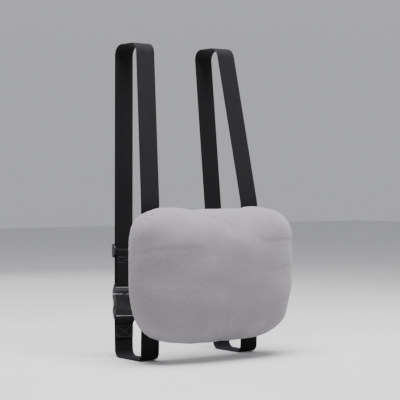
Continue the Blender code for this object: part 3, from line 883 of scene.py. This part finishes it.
def zip_topstitching(surfaces):
    """One row of stitches along each side of the zip, and a bar tack at each end."""
    rows = []
    reach = SLOT_END - 1 * MM
    for side, surface in zip((1, -1), surfaces):
        x = np.arange(-reach, reach, 1.5 * MM)
        z = np.full_like(x, ZIP_Z + side * (SLOT_HALF + STITCH_OFF))
        rows.append(stitch_row(np.stack([x, surface(x, z), z], 1), (0, 1, 0)))
    for side in (-1, 1):
        z = ZIP_Z + np.linspace(-1, 1, 8) * (SLOT_HALF + STITCH_OFF)
        for step in (1.2 * MM, 2.4 * MM):
            x = np.full_like(z, side * (SLOT_END + step))
            upper = z > ZIP_Z
            y = np.where(upper, surfaces[0](x, z), surfaces[1](x, z))
            rows.append(stitch_row(np.stack([x, y, z], 1), (0, 1, 0), 1.6 * MM, 0.5 * MM))
    thread("zip_topstitching", rows, "cushion", "cover_thread")


# ---------------------------------------------------------------- zip


def make_zip_tape(word, side):
    """A woven tape with a raised edge cord, under its panel."""
    low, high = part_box(f"zip_tape_{word}")
    x = np.arange(low.x, high.x, 2.5 * MM)
    across = np.array([0, 0.6, 1.2, 2.4, 4.0, 7.0, 11.0, 14.9]) * MM
    lift = np.array([0.12, 0.18, 0.02, 0, 0, 0, 0, 0]) * MM
    edge_z = ZIP_Z + side * 0.8 * MM
    grid_x, grid_a = (g.ravel() for g in np.meshgrid(x, across))
    y = high.y + np.repeat(lift, len(x)) + Ripple(1, 40 * MM)(grid_x) * 0.05 * MM
    outer = np.stack([grid_x, y, edge_z + side * grid_a], 1)
    inner = outer - np.array([0, 0.5 * MM, 0])
    mesh = double_sheet(f"zip_tape_{word}_woven", outer, inner, len(x), len(across))
    fix_normals(mesh)
    flat = np.stack([grid_x, grid_a], 1)
    store_cloth(mesh, np.r_[flat, flat])
    tape = link(f"zip_tape_{word}_woven", mesh, "zip_tape")
    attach(tape, "cushion")
    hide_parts(f"zip_tape_{word}")


def make_zip_coil(word, side):
    """A flattened nylon coil with its sewing cord, meshing with the other row."""
    low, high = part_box(f"zip_coil_{word}")
    pitch = 1.5 * MM
    turns = int((high.x - low.x) / pitch) - 1
    steps = 12
    angle = np.arange(turns * steps) * 2 * math.pi / steps
    shift = 0.0 if side > 0 else pitch / 2
    reach_z, reach_y = 1.25 * MM, 0.55 * MM
    middle_y = (low.y + high.y) / 2
    x = low.x + 0.4 * MM + shift + angle / (2 * math.pi) * pitch
    y = middle_y + reach_y * np.sin(angle)
    z = ZIP_Z + side * (1.0 * MM + reach_z * np.cos(angle))
    coil = tube(np.stack([x, y, z], 1), 0.30 * MM)
    cord_x = np.arange(low.x, high.x, 3 * MM)
    cord_z = np.full_like(cord_x, ZIP_Z + side * 1.75 * MM)
    cord = tube(np.stack([cord_x, np.full_like(cord_x, middle_y), cord_z], 1), 0.22 * MM)
    name = f"zip_coil_{word}_wound"
    obj = link(name, mesh_from(name, *joined([coil, cord])), "zip_coil")
    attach(obj, "cushion")
    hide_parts(f"zip_coil_{word}")


def prism(outline, axis, low, high, name="tool", material="buckle_plastic"):
    """An extruded outline; its points are on the other two axes, in X, Y, Z order."""
    others = [a for a in range(3) if a != axis]
    bm = bmesh.new()
    verts = []
    for point in outline:
        co = [0.0, 0.0, 0.0]
        co[axis] = low
        co[others[0]], co[others[1]] = point
        verts.append(bm.verts.new(co))
    made = bmesh.ops.extrude_face_region(bm, geom=[bm.faces.new(verts)])
    top = [v for v in made["geom"] if isinstance(v, bmesh.types.BMVert)]
    offset = [0.0, 0.0, 0.0]
    offset[axis] = high - low
    bmesh.ops.translate(bm, verts=top, vec=offset)
    bmesh.ops.recalc_face_normals(bm, faces=bm.faces)
    mesh = bpy.data.meshes.new(name)
    bm.to_mesh(mesh)
    bm.free()
    return link(name, mesh, material)


def rounded_outline(corners, radius, steps=5):
    """A polygon given in mm with its corners turned into arcs, as points in metres.

    A corner may bring its own radius.
    """
    corners = [tuple(value * MM for value in corner) for corner in corners]
    points = []
    for n, (x, y, *own) in enumerate(corners):
        corner = Vector((x, y))
        before = Vector(corners[n - 1][:2]) - corner
        after = Vector(corners[(n + 1) % len(corners)][:2]) - corner
        size = own[0] if own else radius * MM
        reach = size / math.tan(before.angle(after) / 2)
        reach = min(reach, before.length * 0.48, after.length * 0.48)
        start = corner + before.normalized() * reach
        end = corner + after.normalized() * reach
        for share in np.linspace(0, 1, steps + 1):
            point = start * (1 - share) ** 2 + corner * 2 * share * (1 - share) + end * share**2
            points.append(tuple(point))
    return points


def mirrored(half, axis=0):
    """A closed outline from its half on one side of an axis."""
    other = [tuple(-c if n == axis else c for n, c in enumerate(p)) for p in reversed(half)]
    return half + other


def combine(obj, tools, operation="DIFFERENCE"):
    """Apply Boolean tools to an object and delete them."""
    for tool in tools:
        modifier = obj.modifiers.new("cut", "BOOLEAN")
        modifier.operation = operation
        modifier.object = tool
        modifier.solver = "EXACT"
    settle(obj)
    for tool in tools:
        bpy.data.objects.remove(tool, do_unlink=True)


def crossed(name, side, plan, plan_radius=1):
    """A solid that has one outline from the strap's edge and another face on."""
    body = prism(rounded_outline(side, 1, 4), 0, -24 * MM, 24 * MM, name)
    face_on = prism(rounded_outline(plan, plan_radius), 1, -10 * MM, 10 * MM)
    combine(body, [face_on], "INTERSECT")
    return body


def round_edges(obj, width, segments=2):
    modifier = obj.modifiers.new("edges", "BEVEL")
    modifier.width = width * MM
    modifier.segments = segments
    modifier.limit_method = "ANGLE"
    modifier.angle_limit = math.radians(35)
    modifier.use_clamp_overlap = True
    settle(obj)
    obj.data.shade_smooth()
    obj.data.set_sharp_from_angle(angle=math.radians(42))


def block(low, high):
    """A plain box given in mm, used as a tool for combine()."""
    low, high = ([value * MM for value in corner] for corner in (low, high))
    outline = [(low[0], low[1]), (high[0], low[1]), (high[0], high[1]), (low[0], high[1])]
    return prism(outline, 2, low[2], high[2])


def finish_part(obj, matrix, body, node):
    """Put a part that was built in its own frame where it belongs."""
    obj.data.transform(matrix)
    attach(obj, body)
    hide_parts(node)


def make_zip_slider():
    """Cast slider body: a waisted top plate, flanges, the lower plate and its bridge."""
    low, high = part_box("zip_slider")
    half, wide = (high.x - low.x) / 2 / MM, (high.z - low.z) / 2 / MM
    plan = [(-half, -wide * 0.72), (-half * 0.2, -wide * 0.86), (half * 0.8, -wide), (half, -wide * 0.6)]
    outline = rounded_outline(mirrored(plan, 1), 1, 3)
    slider = prism(outline, 1, 0.5 * MM, 1.4 * MM, "zip_slider_cast", "zip_metal")
    under = prism(outline, 1, -3.5 * MM, -2.6 * MM)
    post = block((-3.4, -2.7, -0.45), (-1.6, 0.6, 0.45))
    arch = mirrored([(1.6, 3.4, 0.8), (1.6, 1.3), (2.4, 1.3), (2.4, 4.1, 1.2)])
    bridge = prism(rounded_outline(arch, 0.1, 3), 2, -0.8 * MM, 0.8 * MM)
    flanges = [
        block((-half * 0.7, -1.3, middle - 0.4), (half * 0.8, 0.6, middle + 0.4))
        for middle in (-3.2, 3.2)
    ]
    combine(slider, [under, post, bridge] + flanges, "UNION")
    round_edges(slider, 0.18)
    place = Matrix.Translation(((low.x + high.x) / 2, 0, ZIP_Z))
    finish_part(slider, place, "zip_slider", "zip_slider")


def make_zip_pull():
    """Flat tapered pull tab with a window for the bridge, a hole, and a sunk panel."""
    tab = mirrored([(-0.5, -2.6, 0.4), (6, -2.4), (23.8, -3.2, 2.6)], 1)
    window = mirrored([(0.5, -1.6), (5, -1.6, 1)], 1)
    hole = mirrored([(18.6, -1.2), (22, -1.5)], 1)
    panel = mirrored([(7.5, -1.5), (16.8, -1.8)], 1)
    pull = prism(rounded_outline(tab, 2), 1, -0.5 * MM, 0.5 * MM, "zip_pull_tab", "zip_metal")
    cuts = [
        prism(rounded_outline(window, 0.1, 4), 1, -1 * MM, 1 * MM),
        prism(rounded_outline(hole, 1, 4), 1, -1 * MM, 1 * MM),
        prism(rounded_outline(panel, 0.8, 3), 1, 0.32 * MM, 1 * MM),
        prism(rounded_outline(panel, 0.8, 3), 1, -1 * MM, -0.32 * MM),
    ]
    combine(pull, cuts)
    round_edges(pull, 0.14)
    place = Matrix.Translation(JOINTS["zip_pull_swing"]["pos_m"])
    finish_part(pull, place, "zip_pull", "zip_pull")


def make_zip_stops():
    """Crimped metal clips with two folded ends."""
    for node in ("zip_top_stop", "zip_bottom_stop"):
        low, high = (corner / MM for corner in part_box(node))
        outline = [(low.y - 0.1, low.z), (high.y, low.z + 0.2, 0.8),
                   (high.y, high.z - 0.2, 0.8), (low.y - 0.1, high.z)]
        outline = rounded_outline(outline, 0.2, 4)
        stop = prism(outline, 0, low.x * MM, high.x * MM, f"{node}_crimped", "zip_metal")
        round_edges(stop, 0.2, 3)
        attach(stop, "cushion")
        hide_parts(node)


def make_label():
    """A blank folded woven label, curling away from the back at its free end."""
    low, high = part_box("care_label")
    count_x, count_z = 22, 26
    x, down = np.meshgrid(np.linspace(low.x, high.x, count_x), np.linspace(0, 1, count_z))
    x, down = x.ravel(), down.ravel()
    z = high.z - down * (high.z - low.z) * (1 - 0.03 * down)
    curl = 3.2 * MM * down**2 + 0.5 * MM * np.sin(x * 260) * down
    outer = np.stack([x, 0.55 * MM + curl, z], 1)
    inner = outer - np.array([0, 0.45 * MM, 0])
    mesh = double_sheet("care_label_blank", outer, inner, count_x, count_z)
    fix_normals(mesh)
    flat = np.stack([x, z], 1)
    store_cloth(mesh, np.r_[flat, flat])
    label = link("care_label_blank", mesh, "label")
    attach(label, "cushion")
    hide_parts("care_label")


# ---------------------------------------------------------------- straps


def hardware_frame(word, side):
    """The buckle's frame, from its joints: u across the strap, v outward, w up the strap."""
    up = Vector(JOINTS[f"{word}_buckle_release"]["axis"]).normalized()
    prong = JOINTS[f"{word}_outer_prong_squeeze"]
    outward = Vector(prong["axis"]).normalized() * side
    across = outward.cross(up)
    origin = Vector(prong["pos_m"]) - across * side * 11.5 * MM - up * 34.2 * MM
    matrix = Matrix((across, outward, up)).transposed().to_4x4()
    matrix.translation = origin
    return matrix


def rounded_path(corners):
    """Points and width directions along straight runs joined by arcs."""
    knots = [(corners[0][0], corners[0][2])]
    for before, (corner, radius, guide), after in zip(corners, corners[1:], corners[2:]):
        into = (corner - before[0]).normalized()
        out = (after[0] - corner).normalized()
        turn = into.angle(out)
        start = corner - into * radius * math.tan(turn / 2)
        towards = (out - into * out.dot(into)).normalized()
        steps = max(2, math.ceil(turn / math.radians(9)))
        for n in range(steps + 1):
            angle = turn * n / steps
            along = into * math.sin(angle) + towards * (1 - math.cos(angle))
            knots.append((start + along * radius, guide))
    knots.append((corners[-1][0], corners[-1][2]))
    points = [knots[0]]
    for (a, guide_a), (b, guide_b) in zip(knots, knots[1:]):
        count = max(1, round((b - a).length / (5 * MM)))
        for n in range(1, count + 1):
            share = n / count
            points.append((a.lerp(b, share), guide_a.lerp(guide_b, share)))
    return points


def make_webbing(name, corners):
    """Flat elastic webbing with lengthwise cords, swept along a rounded path."""
    path = rounded_path(corners)
    columns = np.linspace(-1, 1, CORDS * 4 + 1)
    ribs = 0.82 + 0.18 * np.abs(np.cos(columns * CORDS * math.pi / 2))
    edge = (1 - np.abs(columns) ** 14) ** 0.5
    thick = STRAP_T / 2 * ribs * (0.12 + 0.88 * edge)
    section_u = np.r_[columns, columns[::-1][1:-1]] * STRAP_W / 2
    section_n = np.r_[thick, -thick[::-1][1:-1]]
    verts, flat = [], []
    travelled = 0.0
    last = len(path) - 1
    for n, (point, guide) in enumerate(path):
        if n:
            travelled += (point - path[n - 1][0]).length
        tangent = (path[min(n + 1, last)][0] - path[max(n - 1, 0)][0]).normalized()
        across = (guide - tangent * tangent.dot(guide)).normalized()
        normal = tangent.cross(across)
        verts.append(np.outer(section_u, across) + np.outer(section_n, normal) + np.array(point))
        flat.append(np.stack([section_u, np.full_like(section_u, travelled)], 1))
    mesh = mesh_from(name, np.concatenate(verts), tube_faces(len(path), len(section_u)))
    fix_normals(mesh)
    mesh.set_sharp_from_angle(angle=math.radians(65))
    store_cloth(mesh, np.concatenate(flat))
    return link(name, mesh, "strap_webbing")


BAR_W = 50.3 * MM  # the plug's web bar
SOCKET_BAR_W = -8.3 * MM
ADJUSTER_W = 110 * MM
ADJUSTER_LOOP = 1.1 * MM * math.sqrt(2) + 0.3 * MM + STRAP_T / 2
ADJUSTER_BAR_V = LAYER - STRAP_T - 0.3 * MM - ADJUSTER_LOOP
TAIL = 24 * MM
REAR_SPLIT = 440 * MM  # below the top bend, where what the plug moves begins
SEWN_Y = 0.35 * MM + STRAP_T / 2  # the straps' sewn ends lie on the back panel
SEWN_Z = 84 * MM
SLOT_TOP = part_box("upper_strap_right")[1].z - STRAP_T / 2
SLOT_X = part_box("upper_strap_right")[0].x + STRAP_W / 2
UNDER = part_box("lower_strap_right")[0].z + STRAP_T / 2
REAR_Y = 113 * MM
FRONT_Y = 47 * MM
UNDER_REAR_Y = 82 * MM


def corners_from(world, local, matrix):
    across = matrix.col[0].to_3d()
    corners = [(Vector(p), r, Vector((1, 0, 0))) for p, r in world]
    return corners + [(matrix @ Vector((0, v, w)), r, across) for v, w, r in local]


def make_upper_strap(word, side, matrix):
    """The elastic run from the seam round the backrest to the plug, and its sewn return."""
    x = side * STRAP_X
    slot_x = side * SLOT_X
    back = ADJUSTER_BAR_V - ADJUSTER_LOOP
    front = ADJUSTER_BAR_V + ADJUSTER_LOOP
    world = [
        ((x, SEWN_Y, SEWN_Z), 0),
        ((x, SEWN_Y, HALF_H), 80 * MM),
        ((slot_x, FRONT_Y, SLOT_TOP), 18 * MM),
        ((slot_x, REAR_Y, SLOT_TOP), 18 * MM),
    ]
    front_run = corners_from(world, [(LAYER, REAR_SPLIT, 0)], matrix)
    run = make_webbing(f"upper_strap_{word}_front", front_run)
    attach(run, "cushion")
    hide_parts(f"upper_strap_{word}")
    split_w = BAR_W + 6 * MM
    down = [
        (LAYER, REAR_SPLIT, 0),
        (LAYER, BAR_W - LAYER, LAYER),
        (-LAYER, BAR_W - LAYER, LAYER),
        (-LAYER, split_w, 0),
    ]
    rear = make_webbing(f"upper_strap_{word}_rear", corners_from([], down, matrix))
    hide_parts(f"upper_strap_{word}")
    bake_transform(rear)
    top = ADJUSTER_W + ADJUSTER_LOOP
    tail = back + STRAP_T + 0.2 * MM
    back_up = [
        (-LAYER, split_w + 0.05 * MM, 0),
        (back, ADJUSTER_W - 40 * MM, 30 * MM),
        (back, top, ADJUSTER_LOOP),
        (front, top, ADJUSTER_LOOP),
        (front, ADJUSTER_W - 3 * MM, 4 * MM),
        (tail, ADJUSTER_W - 9 * MM, 4 * MM),
        (tail, ADJUSTER_W - TAIL, 0),
    ]
    sewn = make_webbing(f"upper_strap_{word}_return", corners_from([], back_up, matrix))
    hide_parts(f"upper_strap_{word}")
    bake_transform(sewn)
    low, high = ADJUSTER_W - TAIL + 2.5 * MM, ADJUSTER_W - 11 * MM
    face = back - STRAP_T / 2
    rows = box_stitch(matrix, face, -1, low, high)
    thread(f"strap_stitching_{word}_upper", rows, f"adjuster_{word}", "strap_thread")
    thread(f"strap_anchor_{word}_upper", anchor_stitch(x, 1), "cushion", "strap_thread")


def make_lower_strap(word, side, matrix):
    """The elastic run from the bottom seam, under the backrest, up to the socket."""
    x = side * STRAP_X
    tail = LAYER - STRAP_T - 0.2 * MM
    top = SOCKET_BAR_W + LAYER
    world = [
        ((x, SEWN_Y, -SEWN_Z), 0),
        ((x, 2.6 * MM, UNDER), 12 * MM),
        ((x, UNDER_REAR_Y, UNDER), 12 * MM),
    ]
    local = [
        (LAYER, top, LAYER),
        (-LAYER, top, LAYER),
        (-LAYER, SOCKET_BAR_W - 3 * MM, 4 * MM),
        (tail, SOCKET_BAR_W - 10 * MM, 4 * MM),
        (tail, SOCKET_BAR_W - 10 * MM - TAIL, 0),
    ]
    strap = make_webbing(f"lower_strap_{word}_elastic", corners_from(world, local, matrix))
    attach(strap, "cushion")
    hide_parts(f"lower_strap_{word}")
    low, high = SOCKET_BAR_W - 8 * MM - TAIL, SOCKET_BAR_W - 13 * MM
    rows = box_stitch(matrix, LAYER + STRAP_T / 2, 1, low, high)
    rows += box_stitch(matrix, tail - STRAP_T / 2, -1, low, high)
    thread(f"strap_stitching_{word}_lower", rows, "cushion", "strap_thread")
    thread(f"strap_anchor_{word}_lower", anchor_stitch(x, -1), "cushion", "strap_thread")


def anchor_stitch(x, way):
    """The box and cross that hold a strap's end to the back panel."""
    place = Matrix.Translation((x, SEWN_Y, 0))
    low, high = sorted((way * (SEWN_Z + 3 * MM), way * (SEWN_Z + 21 * MM)))
    return box_stitch(place, STRAP_T / 2, 1, low, high)


def box_stitch(matrix, v, way, low, high):
    """A stitched box with a cross in it, on the face at v of a doubled strap."""
    wide = STRAP_W / 2 - 4 * MM
    corners = [(-wide, low), (wide, low), (wide, high), (-wide, high)]
    lines = [(corners[n], corners[(n + 1) % 4]) for n in range(4)]
    lines += [(corners[0], corners[2]), (corners[1], corners[3])]
    outward = np.array(matrix.col[1].to_3d()) * way
    rows = []
    for a, b in lines:
        ends = [np.array(matrix @ Vector((u, v, w))) for u, w in (a, b)]
        rows.append(stitch_row(ends, outward, 2.4 * MM, 0.8 * MM, 0.3 * MM))
    return rows


# ---------------------------------------------------------------- buckle


def make_socket(word, matrix):
    """The buckle's female half: a flat mouth, side windows, a sunk panel and a web bar."""
    side = mirrored([(1.7, -10.1, 0.8), (1.7, -6.5, 0.5), (4, 0, 3), (BUCKLE_HALF, 7, 6),
                     (BUCKLE_HALF, 34, 0.9)])
    plan = mirrored([(22, -11, 4), (22, 6, 5), (20.3, 12, 5), (20.3, 21.5, 4), (22, 26, 4),
                     (22, 34.5, 2)])
    body = crossed(f"buckle_socket_{word}", side, plan)
    mouth = block((-19.5, -3.5, 7), (19.5, 3.5, 36))
    windows = block((-25, -3.45, 10), (25, 3.45, 24.2))
    slot = block((-19.8, -10, -6.5), (19.8, 10, -3.8))
    pad = rounded_outline(mirrored([(11, 11), (13, 27)]), 5)
    inside, outside = (BUCKLE_HALF - 0.5) * MM, (BUCKLE_HALF + 1) * MM
    sunk = [prism(pad, 1, *span) for span in ((inside, outside), (-outside, -inside))]
    combine(body, [mouth, windows, slot] + sunk)
    round_edges(body, 0.45)
    finish_part(body, matrix, "cushion", f"buckle_female_{word}")


def make_plug(word, matrix):
    """The buckle's male half: its shoulder, web bar and the fin that guides it in."""
    side = mirrored([(BUCKLE_HALF, 34.5, 0.9), (BUCKLE_HALF, 39.5, 4), (4, 43, 2), (1.7, 48.5, 0.5),
                     (1.7, 52.1, 0.8)])
    body = crossed(f"buckle_plug_{word}", side, mirrored([(22, 34, 2), (22, 53, 4)]))
    slot = block((-19.8, -10, 45.8), (19.8, 10, 48.5))
    grips = [
        block((-14, way * BUCKLE_HALF - 0.35, 36.0 + 1.7 * n), (14, way * BUCKLE_HALF + 0.35, 36.9 + 1.7 * n))
        for n in range(2) for way in (-1, 1)
    ]
    combine(body, [slot] + grips)
    fin = rounded_outline(mirrored([(2.6, 14), (3, 35, 0.1)]), 1.6, 4)
    combine(body, [prism(fin, 1, -2.5 * MM, 2.5 * MM)], "UNION")
    round_edges(body, 0.45)
    finish_part(body, matrix, f"plug_{word}", f"buckle_male_{word}")


def make_prong(word, place, side, matrix):
    """A sprung arm with its barb, and grip ridges on the pad that a finger presses."""
    right = [(8.7, 33.3, 0.5), (10.6, 34.2, 0.6), (12.4, 34.2, 0.6), (14.3, 33.3, 0.5),
             (16.8, 25.4, 3), (21.3, 23.5, 0.9), (22, 19, 9), (21.2, 13.2, 3), (18, 11.2, 2),
             (15.2, 11.8, 1.4), (14.8, 16, 4), (13.6, 25, 6)]
    outline = rounded_outline([(side * u, *rest) for u, *rest in right], 1, 6)
    arm = prism(outline, 1, -2.9 * MM, 2.9 * MM, f"buckle_arm_{word}_{place}")
    near, far = sorted((side * 21.5, side * 23))
    combine(arm, [block((near, -10, 14.8 + 1.6 * n), (far, 10, 15.5 + 1.6 * n)) for n in range(5)])
    round_edges(arm, 0.25)
    finish_part(arm, matrix, f"prong_{word}_{place}", f"buckle_prong_{word}_{place}")


def make_adjuster(word, matrix):
    """Three-bar slider: two bars over the strap and a set-back bar that carries its sewn end."""
    cover = (LAYER + STRAP_T / 2) / MM + 0.3
    bar_v = ADJUSTER_BAR_V / MM
    side = [(cover, -12, 0.6), (cover + 2, -12, 1), (cover + 2, 12, 1), (cover, 12, 0.6),
            (bar_v - 1.5, 5, 1.5), (bar_v - 1.5, -5, 1.5)]
    plan = mirrored([(-22.5, -12.5), (22.5, -12.5)], 1)
    body = crossed(f"strap_adjuster_{word}_moulded", side, plan, 3)
    inner = STRAP_W / 2 / MM + 0.6
    opening = block((-inner, -20, -8.6), (inner, 20, 8.6))
    way = block((-inner, -20, -14), (inner, cover, 14))
    combine(body, [opening, way])
    bar = mirrored([(bar_v - 1.1, -1.1), (bar_v + 1.1, -1.1)], 1)
    reach = (inner + 1) * MM
    combine(body, [prism(rounded_outline(bar, 0.7, 4), 0, -reach, reach)], "UNION")
    round_edges(body, 0.4)
    place = matrix @ Matrix.Translation((0, 0, ADJUSTER_W))
    finish_part(body, place, f"adjuster_{word}", f"strap_adjuster_{word}")


# ---------------------------------------------------------------- studio


def area_light(name, place, aim, size, power):
    data = bpy.data.lights.new(name, "AREA")
    data.shape = "RECTANGLE"
    data.size, data.size_y = size
    data.energy = power
    light = bpy.data.objects.new(name, data)
    SCENE.collection.objects.link(light)
    light.location = place
    light.rotation_euler = (Vector(aim) - Vector(place)).to_track_quat("-Z", "Y").to_euler()


def make_floor():
    edge, floor_z = 6.0, CAD_BOX[0][2] - 0.5 * MM
    corners = [(-edge, -edge, floor_z), (edge, -edge, floor_z), (edge, edge, floor_z), (-edge, edge, floor_z)]
    mesh = mesh_from("floor", corners, [(0, 1, 2, 3)], smooth=False)
    floor = bpy.data.objects.new("floor", mesh)
    SCENE.collection.objects.link(floor)
    paper = Shader("floor_paper", Roughness=0.7, Specular_IOR_Level=0.2)
    tone = paper.noise(paper.place(), 3.0)
    paper.colour(tone, (0.3, (0.59, 0.59, 0.595)), (0.7, (0.62, 0.62, 0.62)))
    mesh.materials.append(paper.material)


def make_sky():
    """Soft light from all round, stronger from above."""
    world = bpy.data.worlds.new("studio")
    world.use_nodes = True
    nodes, links = world.node_tree.nodes, world.node_tree.links
    background = nodes["Background"]
    direction = nodes.new("ShaderNodeTexCoord")
    height = nodes.new("ShaderNodeSeparateXYZ")
    strength = nodes.new("ShaderNodeMapRange")
    ranges = {"From Min": -0.3, "From Max": 0.9, "To Min": 0.42, "To Max": 0.62}
    for key, value in ranges.items():
        strength.inputs[key].default_value = value
    links.new(direction.outputs["Generated"], height.inputs["Vector"])
    links.new(height.outputs["Z"], strength.inputs["Value"])
    links.new(strength.outputs["Result"], background.inputs["Strength"])
    background.inputs["Color"].default_value = (0.96, 0.97, 1.0, 1.0)
    SCENE.world = world


def make_camera():
    low, high = (Vector(c) for c in CAD_BOX)
    way = Vector((
        math.sin(CAMERA_AZIMUTH) * math.cos(CAMERA_ELEVATION),
        -math.cos(CAMERA_AZIMUTH) * math.cos(CAMERA_ELEVATION),
        math.sin(CAMERA_ELEVATION),
    ))
    data = bpy.data.cameras.new("camera")
    data.lens = data.sensor_width * CAMERA_DISTANCE / VIEW_WIDTH
    camera = bpy.data.objects.new("camera", data)
    SCENE.collection.objects.link(camera)
    camera.location = (low + high) / 2 + way * CAMERA_DISTANCE
    camera.rotation_euler = (-way).to_track_quat("-Z", "Y").to_euler()
    SCENE.camera = camera


def make_studio():
    make_floor()
    make_sky()
    area_light("top_softbox", (-0.15, -0.30, 1.6), (0, 0, 0.05), (1.2, 1.0), 84)
    area_light("right_strip", (1.4, 0.05, 0.55), (0, 0, 0.05), (0.5, 1.6), 8)
    area_light("back_fill", (0.4, 1.9, 0.9), (0, 0, 0.1), (1.4, 1.2), 12)
    make_camera()


def make_cushion():
    cover, crown = make_front_cover()
    make_padding(cover, crown)
    thicken(cover)
    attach(cover, "cushion")
    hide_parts("front_cover")
    surfaces = [make_back_panel(word, side) for word, side in SIDES]
    zip_topstitching(surfaces)


make_cushion()
for word, side in SIDES:
    make_zip_tape(word, side)
    make_zip_coil(word, side)
make_zip_stops()
make_zip_slider()
make_zip_pull()
make_label()
for word, side in (("left", -1), ("right", 1)):
    hardware = hardware_frame(word, side)
    make_upper_strap(word, side, hardware)
    make_lower_strap(word, side, hardware)
    make_socket(word, hardware)
    make_plug(word, hardware)
    make_prong(word, "outer", side, hardware)
    make_prong(word, "inner", -side, hardware)
    make_adjuster(word, hardware)
make_studio()
